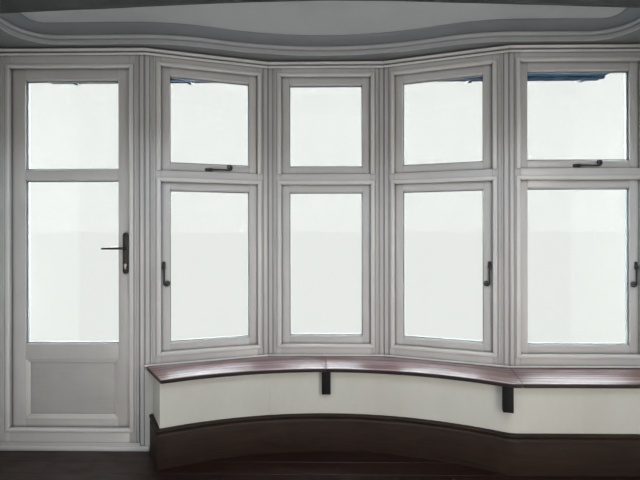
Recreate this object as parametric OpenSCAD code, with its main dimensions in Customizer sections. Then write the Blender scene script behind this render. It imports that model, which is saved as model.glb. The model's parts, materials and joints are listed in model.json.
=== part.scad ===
// Bay window of five lights seen from the room: a half-glazed door on the left, then four casement
// windows, two of them canted, over a bowed low wall with a polished board.
// Millimetres. X runs to the right along the bay, Y runs outdoors, Z is up.
// The origin is under the floor, at the middle of the centre window and in the plane of the
// room side of the door frame.

/* [Plan] */
// Half width of the centre window, from its middle to the mitre of its corner post
centre_half = 340; // [300:1:400]
// Distance from the middle of the bay to the mitres beside the door and the end window
front_half = 985; // [920:1:1060]
// Angle by which the two canted windows turn from the centre one
cant = 18.5; // [12:0.5:24]
// Width of the door opening between its stops
door_open_w = 658; // [600:1:700]
// Width of the end window's opening
end_open_w = 640; // [560:1:700]
// Depth of the side walls in front of the door frame, to the room side of the beam
recess_d = 720; // [620:5:900]

/* [Levels above the finished floor] */
// Top of the window board
board_z = 455; // [420:1:500]
// Underside of the lower casements' openings
light_z0 = 525; // [515:1:560]
// Underside of the transoms
transom_z0 = 1463; // [1380:1:1520]
// Height of the transoms
transom_h = 61; // [55:1:80]
// Top of the window openings
light_z1 = 2098; // [2000:1:2110]
// Top of the window and door frames
frame_z1 = 2158; // [2140:1:2200]
// Foot of the door leaf
leaf_z0 = 108; // [90:1:120]
// Height of the door leaf
leaf_h = 1981; // [1900:1:1990]
// Underside of the plaster ceiling
ceiling_z = 2262; // [2250:1:2320]

/* [Frame] */
// Depth of the frame from its room side to its outer side
frame_d = 70; // [66:1:90]
// Thickness of the stop that the leaves close against
stop_t = 18; // [16:1:20]
// How far the stop laps a leaf
lap = 10; // [8:1:12]
// Width of the door frame's jamb on the hinge side
jamb_hinge_w = 63; // [55:1:80]
// Width of the door side of the corner post beside the door
post_door_w = 82; // [75:1:95]
// Width of the canted windows' side of the outer corner posts
post_outer_w = 84; // [72:1:95]
// Width of the canted windows' side of the inner corner posts
post_inner_w = 62; // [55:1:75]
// Width of the centre window's side of the inner corner posts
post_centre_w = 77; // [66:1:90]
// Width of the end window's side of its corner post
post_end_w = 59; // [54:1:75]
// Width of the end window's jamb at the wall
jamb_end_w = 58; // [54:1:80]
// Width of the moulded bead round each opening
bead_w = 22; // [16:1:26]
// How far the bead stands proud of the frame
bead_t = 7; // [4:0.5:10]
// Width of one reed on the face of the posts
reed_w = 9; // [6:0.5:10]
// How far the reeds stand proud of the posts
reed_t = 4; // [2:0.5:5]
// Height of the board along the foot of the door frame
foot_board_h = 41; // [36:1:60]
// Thickness of that board
foot_board_t = 6; // [5:1:12]
// Height of the rounded strip before it
foot_strip_h = 25; // [18:1:32]
// How far that strip stands out from the frame
foot_strip_t = 14; // [12:1:20]

/* [Leaves and glass] */
// Thickness of the door leaf and the casements
leaf_t = 44; // [40:1:46]
// Width of the casements' stiles and rails
sash_w = 57; // [50:1:64]
// Width of the door's stiles
door_stile_w = 82; // [74:1:95]
// Height of the door's top rail
door_top_rail_h = 72; // [60:1:90]
// Height of the door's rail over the panel
lock_rail_h = 85; // [75:1:120]
// Height of the door's bottom rail
bottom_rail_h = 52; // [45:1:100]
// Underside of the door's lower pane, above the finished floor
door_glass_z = 575; // [560:1:640]
// Underside of the door's glazing bar, above the finished floor
door_bar_z = 1466; // [1400:1:1520]
// Height of the door's glazing bar
door_bar_h = 65; // [50:1:80]
// Width of the moulding round the door's panel
panel_bead_w = 24; // [16:1:30]
// Thickness of the double glazing
glass_t = 20; // [14:1:24]
// Bevel along the edges of the panes
bevel = 8; // [4:1:10]
// Gap round the casements in their rebates
sash_gap = 3; // [2:0.5:4]
// Gap between the door leaf and its frame
door_gap = 5; // [5:0.5:6]
// Wider gap beside the lock, which the turning edge passes
lock_gap = 8; // [8:0.5:10]

/* [Door furniture] */
// Distance from the stop to the middle of the handle plates
handle_inset = 30; // [26:1:34]
// Height of the lever above the foot of the leaf
lever_z = 988; // [950:1:1050]
// Length of the lever from its spindle
lever_len = 122; // [110:1:140]
// Height of the lever at its tip
lever_tip_h = 11; // [9:1:13]
// Height of the lever beside its neck
lever_root_h = 17; // [14:1:19]
// Height of the handle plates
plate_h = 227; // [220:1:240]
// Width of the handle plates
plate_w = 30; // [26:1:32]
// Distance from the lever down to the middle of the handle plates
plate_drop = 27; // [20:1:36]
// Thickness of the handle plates
plate_t = 8; // [6:0.5:10]
// Diameter of the lever's neck where it turns in the plate
neck_d = 16; // [12:1:18]
// Distance from the lever down to the lock cylinder
cylinder_drop = 92; // [85:1:95]
// Length of the door's butt hinges
hinge_len = 100; // [80:5:120]
// Diameter of the hinge pins
pin_d = 6; // [5:0.5:7]
// Running clearance between a pin and its bore, on the radius
run_gap = 0.05; // [0.02:0.01:0.1]

/* [Window fasteners] */
// Height of the fasteners' pivots above the finished floor
fastener_z = 990; // [850:5:1100]
// Distance from the openings' edges to the fasteners' pivots
fastener_inset = 15; // [13:1:30]
// Length of a fastener's bar from its pivot to its curl
fastener_tail = 88; // [60:1:110]
// Length of a top light's bar
stay_tail = 105; // [80:1:130]
// Radius of the largest turn of the curl
fastener_curl = 15; // [12:0.5:18]
// Diameter of the bar
bar_d = 6; // [5:0.5:7]
// Width of a fastener's plate
fastener_w = 18; // [14:1:22]
// Height of a fastener's plate
fastener_plate_h = 44; // [36:1:55]

/* [Low wall and board] */
// Thickness of the window board
board_t = 22; // [18:1:30]
// Radius of the board's bowed front edge
bow_r = 1800; // [1700:10:1900]
// Distance of the bowed front edge in front of the door frame's plane, at the middle
bow_y = -26; // [-40:1:-10]
// Distance of the straight front edge under the end window, in front of that plane
front_y = -262; // [-280:1:-240]
// Radius of the board's corner where the bow meets that straight edge
corner_r = 150; // [120:1:200]
// How far the board overhangs the wall
overhang = 40; // [30:1:50]
// Distance of the wall's outer face behind the frame's room side
wall_out = 62; // [50:1:66]
// Angle of the board's splayed end beside the door
board_splay = 35; // [28:1:40]
// Angle of the wall's splayed end under it
wall_splay = 29.5; // [22:0.5:34]
// Width of the brackets under the board
bracket_w = 48; // [40:1:60]
// Height of the brackets
bracket_h = 124; // [100:1:150]
// Height of the skirting
skirting_h = 200; // [150:5:230]
// Thickness of the skirting
skirting_t = 18; // [15:1:25]
// Thickness of the side walls
side_t = 120; // [100:5:200]

/* [Ceiling, beam and roof] */
// Height of the beam at its ends
beam_h = 206; // [180:2:220]
// Thickness of the beam
beam_t = 150; // [120:5:200]
// Rise of the beam's cambered underside
camber = 56; // [35:1:70]
// Radius of the underside at the middle of the beam
beam_round = 12000; // [10000:250:16000]
// Distance of the cornice in front of the door frame's plane
cornice_y = 40; // [30:1:60]
// Distance of the cornice behind that plane, at the middle of the bay
cornice_bow = 135; // [120:1:150]
// Underside of the cornice above the finished floor
cornice_z0 = 2193; // [2185:1:2205]
// Height of the cornice
cornice_h = 47; // [40:1:55]
// Distance of the fascia board outside the door frame's plane
eave_y = 600; // [520:5:700]
// Underside of the soffit above the finished floor
soffit_z = 2222; // [2210:1:2240]
// Pitch of the roof
pitch = 22; // [15:1:35]
// Thickness of the floor slab under its boards
slab_t = 100; // [80:5:150]
// Thickness of the floor boards
boards_t = 20; // [18:1:25]

/* [Hidden] */

paint = "#c4c0b8";
oak = "#2c211c";
plaster = "#cfc9ba";
joint = 0.3;
eps = 0.01;
bow_fn = 360;
ffl = slab_t + boards_t;
// Larger than anything that a cut has to pass
reach = 4000;

// Plan of the frame's room side: five facets from left to right.
cant_len = (front_half - centre_half) / cos(cant);
bow = (front_half - centre_half) * tan(cant);
door_len = jamb_hinge_w + door_open_w + post_door_w;
end_len = post_end_w + end_open_w + jamb_end_w;
wall_x0 = -front_half - door_len;
wall_x1 = front_half + end_len;
corners = [[wall_x0, 0], [-front_half, 0], [-centre_half, bow], [centre_half, bow], [front_half, 0]];
angles = [0, cant, 0, -cant, 0];
lengths = [door_len, cant_len, 2 * centre_half, cant_len, end_len];
left_w = [jamb_hinge_w, post_outer_w, post_centre_w, post_inner_w, post_end_w];
right_w = [post_door_w, post_inner_w, post_centre_w, post_outer_w, jamb_end_w];

DOOR = 0;
WINDOWS = [1, 2, 3, 4];

function turn(k) = (k == 0 || k == 5) ? 0 : angles[k] - angles[k - 1];
function open_u0(i) = left_w[i];
function open_u1(i) = lengths[i] - right_w[i];
function open_w(i) = open_u1(i) - open_u0(i);

// Plan outline of a strip along facet i between depths w0 and w1, mitred at both ends, trimmed by cut.
function strip(i, w0, w1, cut = 0) = [
  [w0 * tan(turn(i) / 2) + cut, w0],
  [lengths[i] - w0 * tan(turn(i + 1) / 2) - cut, w0],
  [lengths[i] - w1 * tan(turn(i + 1) / 2) - cut, w1],
  [w1 * tan(turn(i) / 2) + cut, w1]
];

// A point of facet i, given along it and in depth, in the plan of the whole bay.
function to_plan(i, p) = corners[i] + [
  p[0] * cos(angles[i]) - p[1] * sin(angles[i]),
  p[0] * sin(angles[i]) + p[1] * cos(angles[i])
];

module on_facet(i) {
  translate([corners[i][0], corners[i][1], 0]) rotate([0, 0, angles[i]]) children();
}

module block(x0, x1, y0, y1, z0, z1) {
  translate([x0, y0, z0]) cube([x1 - x0, y1 - y0, z1 - z0]);
}

// Walls, floor and board. The room's side of the low wall is one bow that runs out in a straight, with a
// rounded corner between the two.
bow_centre = [0, bow_y - bow_r];
wall_front_y = front_y + overhang;
corner_centre = [
  sqrt(pow(bow_r + corner_r, 2) - pow(front_y + corner_r - bow_centre[1], 2)), front_y + corner_r
];
corner_turn = asin(corner_centre[0] / (bow_r + corner_r));

// The rounded corner of an edge that lies extra behind the board's, from the bow to the straight. It
// starts a hair inside the bow, so that the two cross.
corner_steps = 12;
function corner_line(extra) = [
  for (k = [0:corner_steps]) let (a = corner_turn * (1 - k / corner_steps))
    corner_centre - (corner_r - extra + (k == 0 ? joint : 0)) * [sin(a), cos(a)]
];

// Plan of the room in front of that edge.
module room_2d(extra) {
  edge_y = front_y + extra;
  translate(bow_centre) circle(r = bow_r + extra, $fn = bow_fn);
  polygon(concat(
    [[-reach, -reach], [-reach, edge_y], [0, edge_y]], corner_line(extra), [[reach, edge_y], [reach, -reach]]
  ));
}

// Everything beside the door, left of a splayed end that starts at x in the plane of the door frame.
module beside_door_2d(x, angle) {
  translate([x, 0]) rotate(angle) translate([-reach, -reach]) square([reach, 2 * reach]);
}

// The part of the room in front of the splayed end of the wall.
board_end_x = -front_half + 13;
wall_end_x = board_end_x + 33;
module splayed_end_2d() {
  intersection() {
    beside_door_2d(wall_end_x, wall_splay);
    translate([-reach, -reach]) square([2 * reach, reach]);
  }
}

// The wall is cut from a strip along each window that reaches well into the room.
wall_reach = 420;
module wall_plan(i) {
  difference() {
    translate(corners[i]) rotate(angles[i]) polygon(strip(i, -wall_reach, wall_out, joint / 2));
    room_2d(overhang);
    if (i == 1) splayed_end_2d();
  }
}

module dwarf_wall(i) {
  color(plaster) linear_extrude(ffl + board_z - board_t) wall_plan(i);
}

module floor_plan() {
  intersection() {
    translate([wall_x0, -recess_d]) square([wall_x1 - wall_x0, recess_d + frame_d]);
    union() {
      room_2d(overhang);
      splayed_end_2d();
      translate(corners[DOOR]) polygon(strip(DOOR, -1, frame_d));
    }
  }
}

module floor_slab() {
  color("#8d8a84") linear_extrude(slab_t) floor_plan();
}

module floor_boards() {
  color("#35201b") translate([0, 0, slab_t]) linear_extrude(boards_t) floor_plan();
}

side_top = ffl + ceiling_z + 38;
beam_z0 = ffl + ceiling_z + 20 - beam_h;
beam_back = beam_t - recess_d;

module side_wall() {
  rotate([90, 0, 90]) linear_extrude(side_t) polygon([
    [-recess_d, 0], [frame_d, 0], [frame_d, side_top], [beam_back, side_top],
    [beam_back, beam_z0], [-recess_d, beam_z0]
  ]);
}

module side_wall_left() { color(plaster) translate([wall_x0 - side_t, 0, 0]) side_wall(); }
module side_wall_right() { color(plaster) translate([wall_x1, 0, 0]) side_wall(); }

// The beam's underside rises from both walls in straight slopes, which a long arc joins at the middle.
function beam_rise(x) = sqrt(beam_round * beam_round - x * x) - beam_round + camber;

module beam_arch_2d(half) {
  drop = beam_round - camber;
  slope = asin(beam_round / norm([half, drop])) - atan(drop / half);
  bend = beam_round * sin(slope);
  foot = [half + beam_t, -beam_t * tan(slope)];
  polygon(concat(
    [[-foot[0], foot[1]]], [for (k = [-6:6]) [bend * k / 6, beam_rise(bend * k / 6)]], [foot]
  ));
}

module oak_beam() {
  color(oak) difference() {
    block(wall_x0 - side_t, wall_x1 + side_t, -recess_d, beam_back, beam_z0, beam_z0 + beam_h);
    translate([(wall_x0 + wall_x1) / 2, beam_back + 1, beam_z0]) rotate([90, 0, 0])
      linear_extrude(beam_t + 2) beam_arch_2d((wall_x1 - wall_x0) / 2);
  }
}

ceiling_t = side_top - ffl - ceiling_z;
module bay_ceiling() {
  outline = [
    [wall_x0, beam_back], [wall_x1, beam_back], [wall_x1, frame_d],
    to_plan(4, strip(4, 0, frame_d)[3]), to_plan(3, strip(3, 0, frame_d)[3]),
    to_plan(2, strip(2, 0, frame_d)[3]), to_plan(1, strip(1, 0, frame_d)[3]), [wall_x0, frame_d]
  ];
  color(plaster) translate([0, 0, ffl + ceiling_z]) linear_extrude(ceiling_t) polygon(outline);
}

plate_y = 10;
module wall_plate() {
  color(plaster) translate([0, 0, ffl + frame_z1 + joint]) linear_extrude(ceiling_z - frame_z1 - joint)
    for (i = [0:4]) translate(corners[i]) rotate(angles[i])
      polygon(strip(i, plate_y, frame_d, joint / 2));
}

// The cornice follows a smooth double curve: hollow at the middle, swelling towards the ends, with a
// short bend at each side wall. It is a moulded batten on the edge of a flat board.
cornice_flat_x = 1000;
cornice_side = 190;
cornice_turn = 155;
cornice_r = 1800;
cornice_rise = cornice_y + cornice_bow;
cornice_sum = (pow(cornice_flat_x, 2) + pow(cornice_rise, 2)) / (2 * cornice_rise);
swell_r = cornice_sum - cornice_r;
cornice_half_angle = asin(cornice_flat_x / cornice_sum);
cornice_back = 14;
bend_out = cornice_side + cornice_turn;
bend_y = -cornice_y - cornice_turn;

// Batten profile: distance towards the room, and height. Over the batten a shallow plaster cove runs
// out to the ceiling.
cove_h = ceiling_z - cornice_z0 - cornice_h;
cove_w = 92;
function cove() = [
  for (k = [0:6]) [8 + cove_w * sin(15 * k), cornice_h + 2 + (cove_h - 2) * (1 - cos(15 * k))]
];
batten_flat_h = 20;
batten_groove = 4;
batten_profile = concat([
  [-cornice_back, 0], [0, 0], [0, batten_flat_h], [-batten_groove, batten_flat_h + 3],
  [-batten_groove, batten_flat_h + 6], [2, batten_flat_h + 9], [6, batten_flat_h + 14],
  [8, batten_flat_h + 20], [8, cornice_h], [5, cornice_h], [5, cornice_h + 2]
], cove(), [[-cornice_back, cornice_h + cove_h]]);

// A stretch bent about centre, hollow (s = -1) or swelling (s = 1) towards the room.
module batten_arc(centre, r, s, a0, a1) {
  translate([centre[0], centre[1], 0]) rotate([0, 0, a0]) rotate_extrude(angle = a1 - a0, $fn = bow_fn)
    polygon([for (p = batten_profile) [r + s * p[0], p[1]]]);
}

module batten_straight(x0, x1) {
  translate([x0, -cornice_y, 0]) rotate([90, 0, 90]) linear_extrude(x1 - x0)
    polygon([for (p = batten_profile) [-p[0], p[1]]]);
}

// Along the side wall at x, whose room is on side s of it
module batten_side(x, s) {
  translate([x + s * cornice_side, bend_y, 0]) rotate([90, 0, 0]) linear_extrude(bend_y - beam_back)
    polygon([for (p = batten_profile) [s * p[0], p[1]]]);
}

module cornice() {
  a = cornice_half_angle;
  color(paint) translate([0, 0, ffl + cornice_z0]) {
    batten_side(wall_x0, 1);
    batten_arc([wall_x0 + bend_out, bend_y], cornice_turn, -1, 90, 180);
    batten_straight(wall_x0 + bend_out, -cornice_flat_x);
    batten_arc([-cornice_flat_x, swell_r - cornice_y], swell_r, 1, -90, a - 90);
    batten_arc([0, cornice_bow - cornice_r], cornice_r, -1, 90 - a, 90 + a);
    batten_arc([cornice_flat_x, swell_r - cornice_y], swell_r, 1, -90 - a, -90);
    batten_straight(cornice_flat_x, wall_x1 - bend_out);
    batten_arc([wall_x1 - bend_out, bend_y], cornice_turn, -1, 0, 90);
    batten_side(wall_x1, -1);
  }
}

// The flat board behind the batten reaches back to the frames.
function arc(centre, r, a0, a1) = [
  for (k = [0:24]) centre + r * [cos(a0 + (a1 - a0) * k / 24), sin(a0 + (a1 - a0) * k / 24)]
];
soffit_board_t = 18;
module cornice_board() {
  a = cornice_half_angle;
  back = cornice_back + joint;
  front_line = concat(
    [[wall_x0 + cornice_side - back, beam_back]],
    arc([wall_x0 + bend_out, bend_y], cornice_turn + back, 180, 90),
    arc([-cornice_flat_x, swell_r - cornice_y], swell_r - back, -90, a - 90),
    arc([0, cornice_bow - cornice_r], cornice_r + back, 90 + a, 90 - a),
    arc([cornice_flat_x, swell_r - cornice_y], swell_r - back, -90 - a, -90),
    arc([wall_x1 - bend_out, bend_y], cornice_turn + back, 90, 0),
    [[wall_x1 - cornice_side + back, beam_back]]
  );
  back_line = [for (i = [4:-1:1]) to_plan(i, strip(i, 0, plate_y)[3])];
  color(paint) translate([0, 0, ffl + cornice_z0]) linear_extrude(soffit_board_t)
    polygon(concat([[wall_x0, beam_back]], front_line,
      [[wall_x1, beam_back], [wall_x1, plate_y]], back_line, [[wall_x0, plate_y]]));
}

// Window board in three lengths, butted at the middle and mitred before the end window.
module board_plan(i) {
  difference() {
    translate(corners[i]) rotate(angles[i]) polygon(strip(i, -wall_reach, 0));
    room_2d(0);
    if (i == 1) beside_door_2d(board_end_x, board_splay);
  }
}

module window_board() {
  z0 = ffl + board_z - board_t;
  color("#4a2019") translate([0, 0, z0]) {
    linear_extrude(board_t) difference() {
      union() { board_plan(1); board_plan(2); }
      translate([0, -reach]) square([reach, 2 * reach]);
    }
    linear_extrude(board_t) difference() {
      union() { board_plan(2); board_plan(3); }
      translate([joint - reach, -reach]) square([reach, 2 * reach]);
    }
    linear_extrude(board_t) translate([joint, 0]) difference() {
      board_plan(4);
      translate([wall_x1 - joint, -reach]) square([reach, 2 * reach]);
    }
  }
}

// Brackets: blocks under the board, scribed to the wall, with the middles of their fronts at x, y. The
// end bracket faces the middle of the board's corner.
end_bracket_x = 879;
bracket_t = overhang - 14;
module bracket(x, y, turn) {
  intersection() {
    translate([x, y]) rotate(-turn) block(-bracket_w / 2, bracket_w / 2, 0, 2 * overhang, 0, bracket_h);
    linear_extrude(bracket_h) room_2d(overhang - joint);
  }
}

module board_brackets() {
  color(oak) translate([0, 0, ffl + board_z - board_t - bracket_h]) {
    bracket(0, bow_y + overhang - bracket_t, 0);
    bracket(end_bracket_x, wall_front_y - bracket_t, corner_turn / 2);
  }
}

// Skirting: a moulded profile bent along the bow and its corner, then straight to the side wall.
function skirting_profile() = [
  [0, 0], [skirting_t, 0], [skirting_t, skirting_h - 34], [skirting_t - 5, skirting_h - 28],
  [skirting_t - 5, skirting_h - 20], [skirting_t + 3, skirting_h - 12], [skirting_t + 3, skirting_h - 5],
  [skirting_t - 3, skirting_h], [0, skirting_h]
];

// The corner where the bow meets the wall's splayed end, seen from the bow's centre, and the direction of
// the mitre there.
bow_wall_r = bow_r + overhang;
splay_dir = [sin(wall_splay), -cos(wall_splay)];
splay_foot = [wall_end_x, 0] - bow_centre;
splay_reach = splay_foot * splay_dir;
splay_run = -splay_reach - sqrt(splay_reach * splay_reach - splay_foot * splay_foot + bow_wall_r * bow_wall_r);
wall_corner = splay_foot + splay_run * splay_dir;
corner_mitre = -[cos(wall_splay), sin(wall_splay)] - wall_corner / bow_wall_r;
mitre_reach = 500;

module past_mitre_2d(gap) {
  translate(bow_centre + wall_corner) rotate(atan2(corner_mitre[1], corner_mitre[0]))
    translate([-mitre_reach, -mitre_reach]) square([2 * mitre_reach, mitre_reach - gap]);
}

module skirting() {
  left = atan2(-wall_corner[0], wall_corner[1]);
  tall = skirting_h + 1;
  straight = [for (p = skirting_profile()) [-p[0] - joint, p[1]]];
  color(oak) translate([0, 0, ffl]) {
    difference() {
      translate(bow_centre) rotate([0, 0, 90 - corner_turn])
        rotate_extrude(angle = left + corner_turn + 1, $fn = bow_fn)
        polygon([for (p = skirting_profile()) [bow_wall_r - joint - p[0], p[1]]]);
      linear_extrude(tall) past_mitre_2d(0);
    }
    intersection() {
      translate(bow_centre + splay_foot) rotate([0, 0, wall_splay]) rotate([90, 0, 0])
        linear_extrude(splay_run + 2 * skirting_t) polygon(straight);
      linear_extrude(tall) past_mitre_2d(joint);
    }
    translate(corner_centre) rotate([0, 0, 270 - corner_turn]) rotate_extrude(angle = corner_turn, $fn = bow_fn)
      polygon([for (p = skirting_profile()) [corner_r - overhang + joint + p[0], p[1]]]);
    translate([corner_centre[0], wall_front_y, 0]) rotate([90, 0, 90])
      linear_extrude(wall_x1 - corner_centre[0]) polygon(straight);
  }
}

// Frame. A post's face carries reeds; behind its stop it steps back for the leaf.
function half_profile(w, side_gap, reeds) = concat(
  [[w - lap - side_gap, frame_d], [w - lap - side_gap, stop_t], [w, stop_t], [w, 0]],
  reeds == 0 ? [] : [for (k = [0:reeds - 1]) each [
    [w - bead_w - 6 - 2 * k * reed_w, 0],
    [w - bead_w - 8 - 2 * k * reed_w, -reed_t],
    [w - bead_w - 4 - (2 * k + 1) * reed_w, -reed_t],
    [w - bead_w - 6 - (2 * k + 1) * reed_w, 0]
  ]]
);

function mirrored(list) = [for (k = [len(list) - 1:-1:0]) [list[k][0], list[k][1]]];
function flip(list) = [for (p = list) [-p[0], p[1]]];

// Outline of the corner post at corner k, in the plan of the whole bay.
module post_plan(k, gap_l, gap_r, reeds_l, reeds_r) {
  left = [for (p = flip(half_profile(right_w[k - 1], gap_l, reeds_l)))
    to_plan(k - 1, [lengths[k - 1] + p[0], p[1]])];
  right = [for (p = mirrored(half_profile(left_w[k], gap_r, reeds_r))) to_plan(k, p)];
  back = to_plan(k, [frame_d * tan(turn(k) / 2), frame_d]);
  polygon(concat(left, [corners[k]], right, [back]));
}

foot_z = ffl + board_z - board_t;
sill_z = ffl + board_z;
top_z = ffl + frame_z1;

// Each post is plain where the window board butts against it, and reeded above.
module post(k, gap_l, gap_r, reeds_l, reeds_r) {
  translate([0, 0, foot_z]) linear_extrude(board_t) post_plan(k, gap_l, gap_r, 0, 0);
  translate([0, 0, sill_z]) linear_extrude(top_z - sill_z) post_plan(k, gap_l, gap_r, reeds_l, reeds_r);
}

// Beside the door the first post goes on down to the floor, plain behind the board along the foot.
module post_foot(z0, z1, reeds) {
  translate([0, 0, z0]) linear_extrude(z1 - z0) intersection() {
    post_plan(1, lock_gap, sash_gap, reeds, reeds);
    translate(corners[DOOR]) polygon(strip(DOOR, -2 * reed_t, frame_d));
  }
}

module corner_posts() {
  color(paint) {
    post(1, lock_gap, sash_gap, 2, 2);
    post(2, sash_gap, sash_gap, 1, 2);
    post(3, sash_gap, sash_gap, 2, 1);
    post(4, sash_gap, sash_gap, 2, 1);
    post_foot(ffl, ffl + foot_board_h, 0);
    post_foot(ffl + foot_board_h, sill_z, 2);
  }
}

// The jambs at the walls carry one reed above their plain feet.
function hinge_jamb(reeds) = concat(mirrored(half_profile(jamb_hinge_w, door_gap, reeds)), [[0, frame_d], [0, 0]]);
function end_jamb(reeds) = concat(flip(half_profile(jamb_end_w, sash_gap, reeds)), [[0, 0], [0, frame_d]]);

module end_jambs() {
  color(paint) {
    translate([wall_x0, 0, ffl]) linear_extrude(foot_board_h) polygon(hinge_jamb(0));
    translate([wall_x0, 0, ffl + foot_board_h]) linear_extrude(top_z - ffl - foot_board_h) polygon(hinge_jamb(1));
    translate([wall_x1, 0, foot_z]) linear_extrude(board_t) polygon(end_jamb(0));
    translate([wall_x1, 0, sill_z]) linear_extrude(top_z - sill_z) polygon(end_jamb(1));
  }
}

door_top = leaf_z0 + leaf_h;

// A rail of the frame between two posts: its stop, and its body behind, stepped for the leaves.
module frame_rail(i, z0, z1, step_low, step_high, gap_l, gap_r) {
  on_facet(i) translate([0, 0, ffl]) {
    block(open_u0(i), open_u1(i), 0, stop_t, z0, z1);
    block(open_u0(i) - lap - gap_l, open_u1(i) + lap + gap_r, stop_t, frame_d, z0 + step_low, z1 - step_high);
  }
}

sash_step = lap + sash_gap;
module frame_heads() {
  color(paint) {
    for (i = WINDOWS) frame_rail(i, light_z1, frame_z1, sash_step, 0, sash_gap, sash_gap);
    frame_rail(DOOR, door_top - lap, frame_z1, lap + door_gap, 0, door_gap, lock_gap);
  }
}
module transoms() {
  color(paint) for (i = WINDOWS)
    frame_rail(i, transom_z0, transom_z0 + transom_h, sash_step, sash_step, sash_gap, sash_gap);
}
module window_sills() {
  color(paint) for (i = WINDOWS)
    frame_rail(i, board_z - board_t, light_z0, 0, sash_step, sash_gap, sash_gap);
}

// Weathered sills outside, under the casements.
sill_out = 45;
sill_drop = 12;
sill_up = 34;
sill_cut = 4 * sill_out;
module outer_sills() {
  z1 = board_z + sill_up;
  color(paint) for (i = WINDOWS) on_facet(i) difference() {
    translate([0, 0, foot_z]) linear_extrude(z1 - board_z + board_t)
      polygon(strip(i, frame_d, frame_d + sill_out, joint / 2));
    translate([-sill_cut, frame_d, ffl + z1]) rotate([-atan(sill_drop / sill_out), 0, 0])
      cube([lengths[i] + 2 * sill_cut, sill_cut, sill_cut]);
  }
}

// Threshold: the sill, a board along the foot of the frame as far as the post's last reed, and a strip
// before it with a sloped top, which runs on to the skirting.
foot_board_u1 = door_len - 25;
foot_strip_u1 = door_len + 28;
module door_threshold() {
  color(paint) on_facet(DOOR) translate([0, 0, ffl]) {
    block(open_u0(DOOR), open_u1(DOOR), 0, stop_t, 0, leaf_z0 + lap);
    block(open_u0(DOOR) - lap - door_gap, open_u1(DOOR) + lap + lock_gap, stop_t, frame_d,
      0, leaf_z0 - door_gap);
    block(0, foot_board_u1, -foot_board_t, 0, 0, foot_board_h);
    rotate([90, 0, 90]) linear_extrude(foot_strip_u1) polygon([
      [0, 0], [-foot_strip_t, 0], [-foot_strip_t, foot_strip_h - 9],
      [3 - foot_strip_t, foot_strip_h - 3], [-foot_board_t - 1, foot_strip_h], [0, foot_strip_h]
    ]);
  }
}

// Beads round the openings: mitred lengths with a rounded room side. Over a transom there is none, and
// the upright ones end square on it.
module bead_length(len) {
  rotate([90, 0, 90]) linear_extrude(len) polygon([
    [0, 0], [-bead_t * 0.5, 0], [-bead_t, bead_w * 0.25], [-bead_t, bead_w * 0.6],
    [-bead_t * 0.4, bead_w], [0, bead_w]
  ]);
}

module mitred_bead(len, square_start = false) {
  spread = square_start ? 0 : bead_w;
  intersection() {
    translate([-bead_w, 0, 0]) bead_length(len + 2 * bead_w);
    translate([0, 1, 0]) rotate([90, 0, 0]) linear_extrude(bead_t + 2) polygon([
      [joint, 0], [len - joint, 0], [len + bead_w - joint, bead_w], [joint - spread, bead_w]
    ]);
  }
}

module light_bead(i, z0, z1, on_transom = false) {
  on_facet(i) translate([open_u0(i), 0, ffl + z0]) {
    if (!on_transom) mirror([0, 0, 1]) mitred_bead(open_w(i));
    translate([0, 0, z1 - z0]) mitred_bead(open_w(i));
    rotate([0, -90, 0]) mitred_bead(z1 - z0, on_transom);
    translate([open_w(i), 0, 0]) mirror([1, 0, 0]) rotate([0, -90, 0]) mitred_bead(z1 - z0, on_transom);
  }
}

module frame_beads() {
  color(paint) {
    for (i = WINDOWS) {
      light_bead(i, light_z0, transom_z0);
      light_bead(i, transom_z0 + transom_h, light_z1, true);
    }
    light_bead(DOOR, leaf_z0 + lap, door_top - lap);
  }
}

// Two mouldings run along all the heads, mitred over the posts, and a small bead along the foot of the
// sills, on the window board.
module head_mouldings() {
  color(paint) {
    for (i = [0:4]) on_facet(i) {
      translate([0, 0, ffl + frame_z1 - 12]) linear_extrude(12)
        polygon(strip(i, -9, -reed_t, joint / 2));
      translate([0, 0, ffl + frame_z1 + 12]) linear_extrude(14)
        polygon(strip(i, -6, plate_y, joint / 2));
    }
    for (i = WINDOWS) on_facet(i) translate([0, 0, sill_z]) linear_extrude(10)
      polygon(strip(i, -reed_t - 6, -reed_t, joint / 2));
  }
}

// Casements. Each one's stiles and rails lap the stop and stand clear in the rebate.
sash_y = stop_t;
rows = [[light_z0, transom_z0], [transom_z0 + transom_h, light_z1]];

// A bevel cut along the edge of an opening of length len, with mitred ends, in a face that looks
// towards -Y.
module bevel_cut(len) {
  m = 1;
  intersection() {
    translate([-bevel - m, 0, 0]) rotate([90, 0, 90]) linear_extrude(len + 2 * (bevel + m))
      polygon([[-m, m], [-m, -bevel - m], [bevel + m, m]]);
    translate([0, bevel + m, 0]) rotate([90, 0, 0]) linear_extrude(bevel + 2 * m)
      polygon([[m, m], [len - m, m], [len + bevel + m, -bevel - m], [-bevel - m, -bevel - m]]);
  }
}

// Bevels of a pane's opening in its two stiles, on both faces of a leaf that starts at depth y.
module stile_bevels(u0, u1, z0, z1, y) {
  for (face = [0, 1]) translate([0, y + face * leaf_t, 0]) mirror([0, face, 0]) {
    translate([u0, 0, z0]) mirror([1, 0, 0]) rotate([0, -90, 0]) mirror([0, 0, 1]) bevel_cut(z1 - z0);
    translate([u1, 0, z0]) rotate([0, -90, 0]) mirror([0, 0, 1]) bevel_cut(z1 - z0);
  }
}

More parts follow.
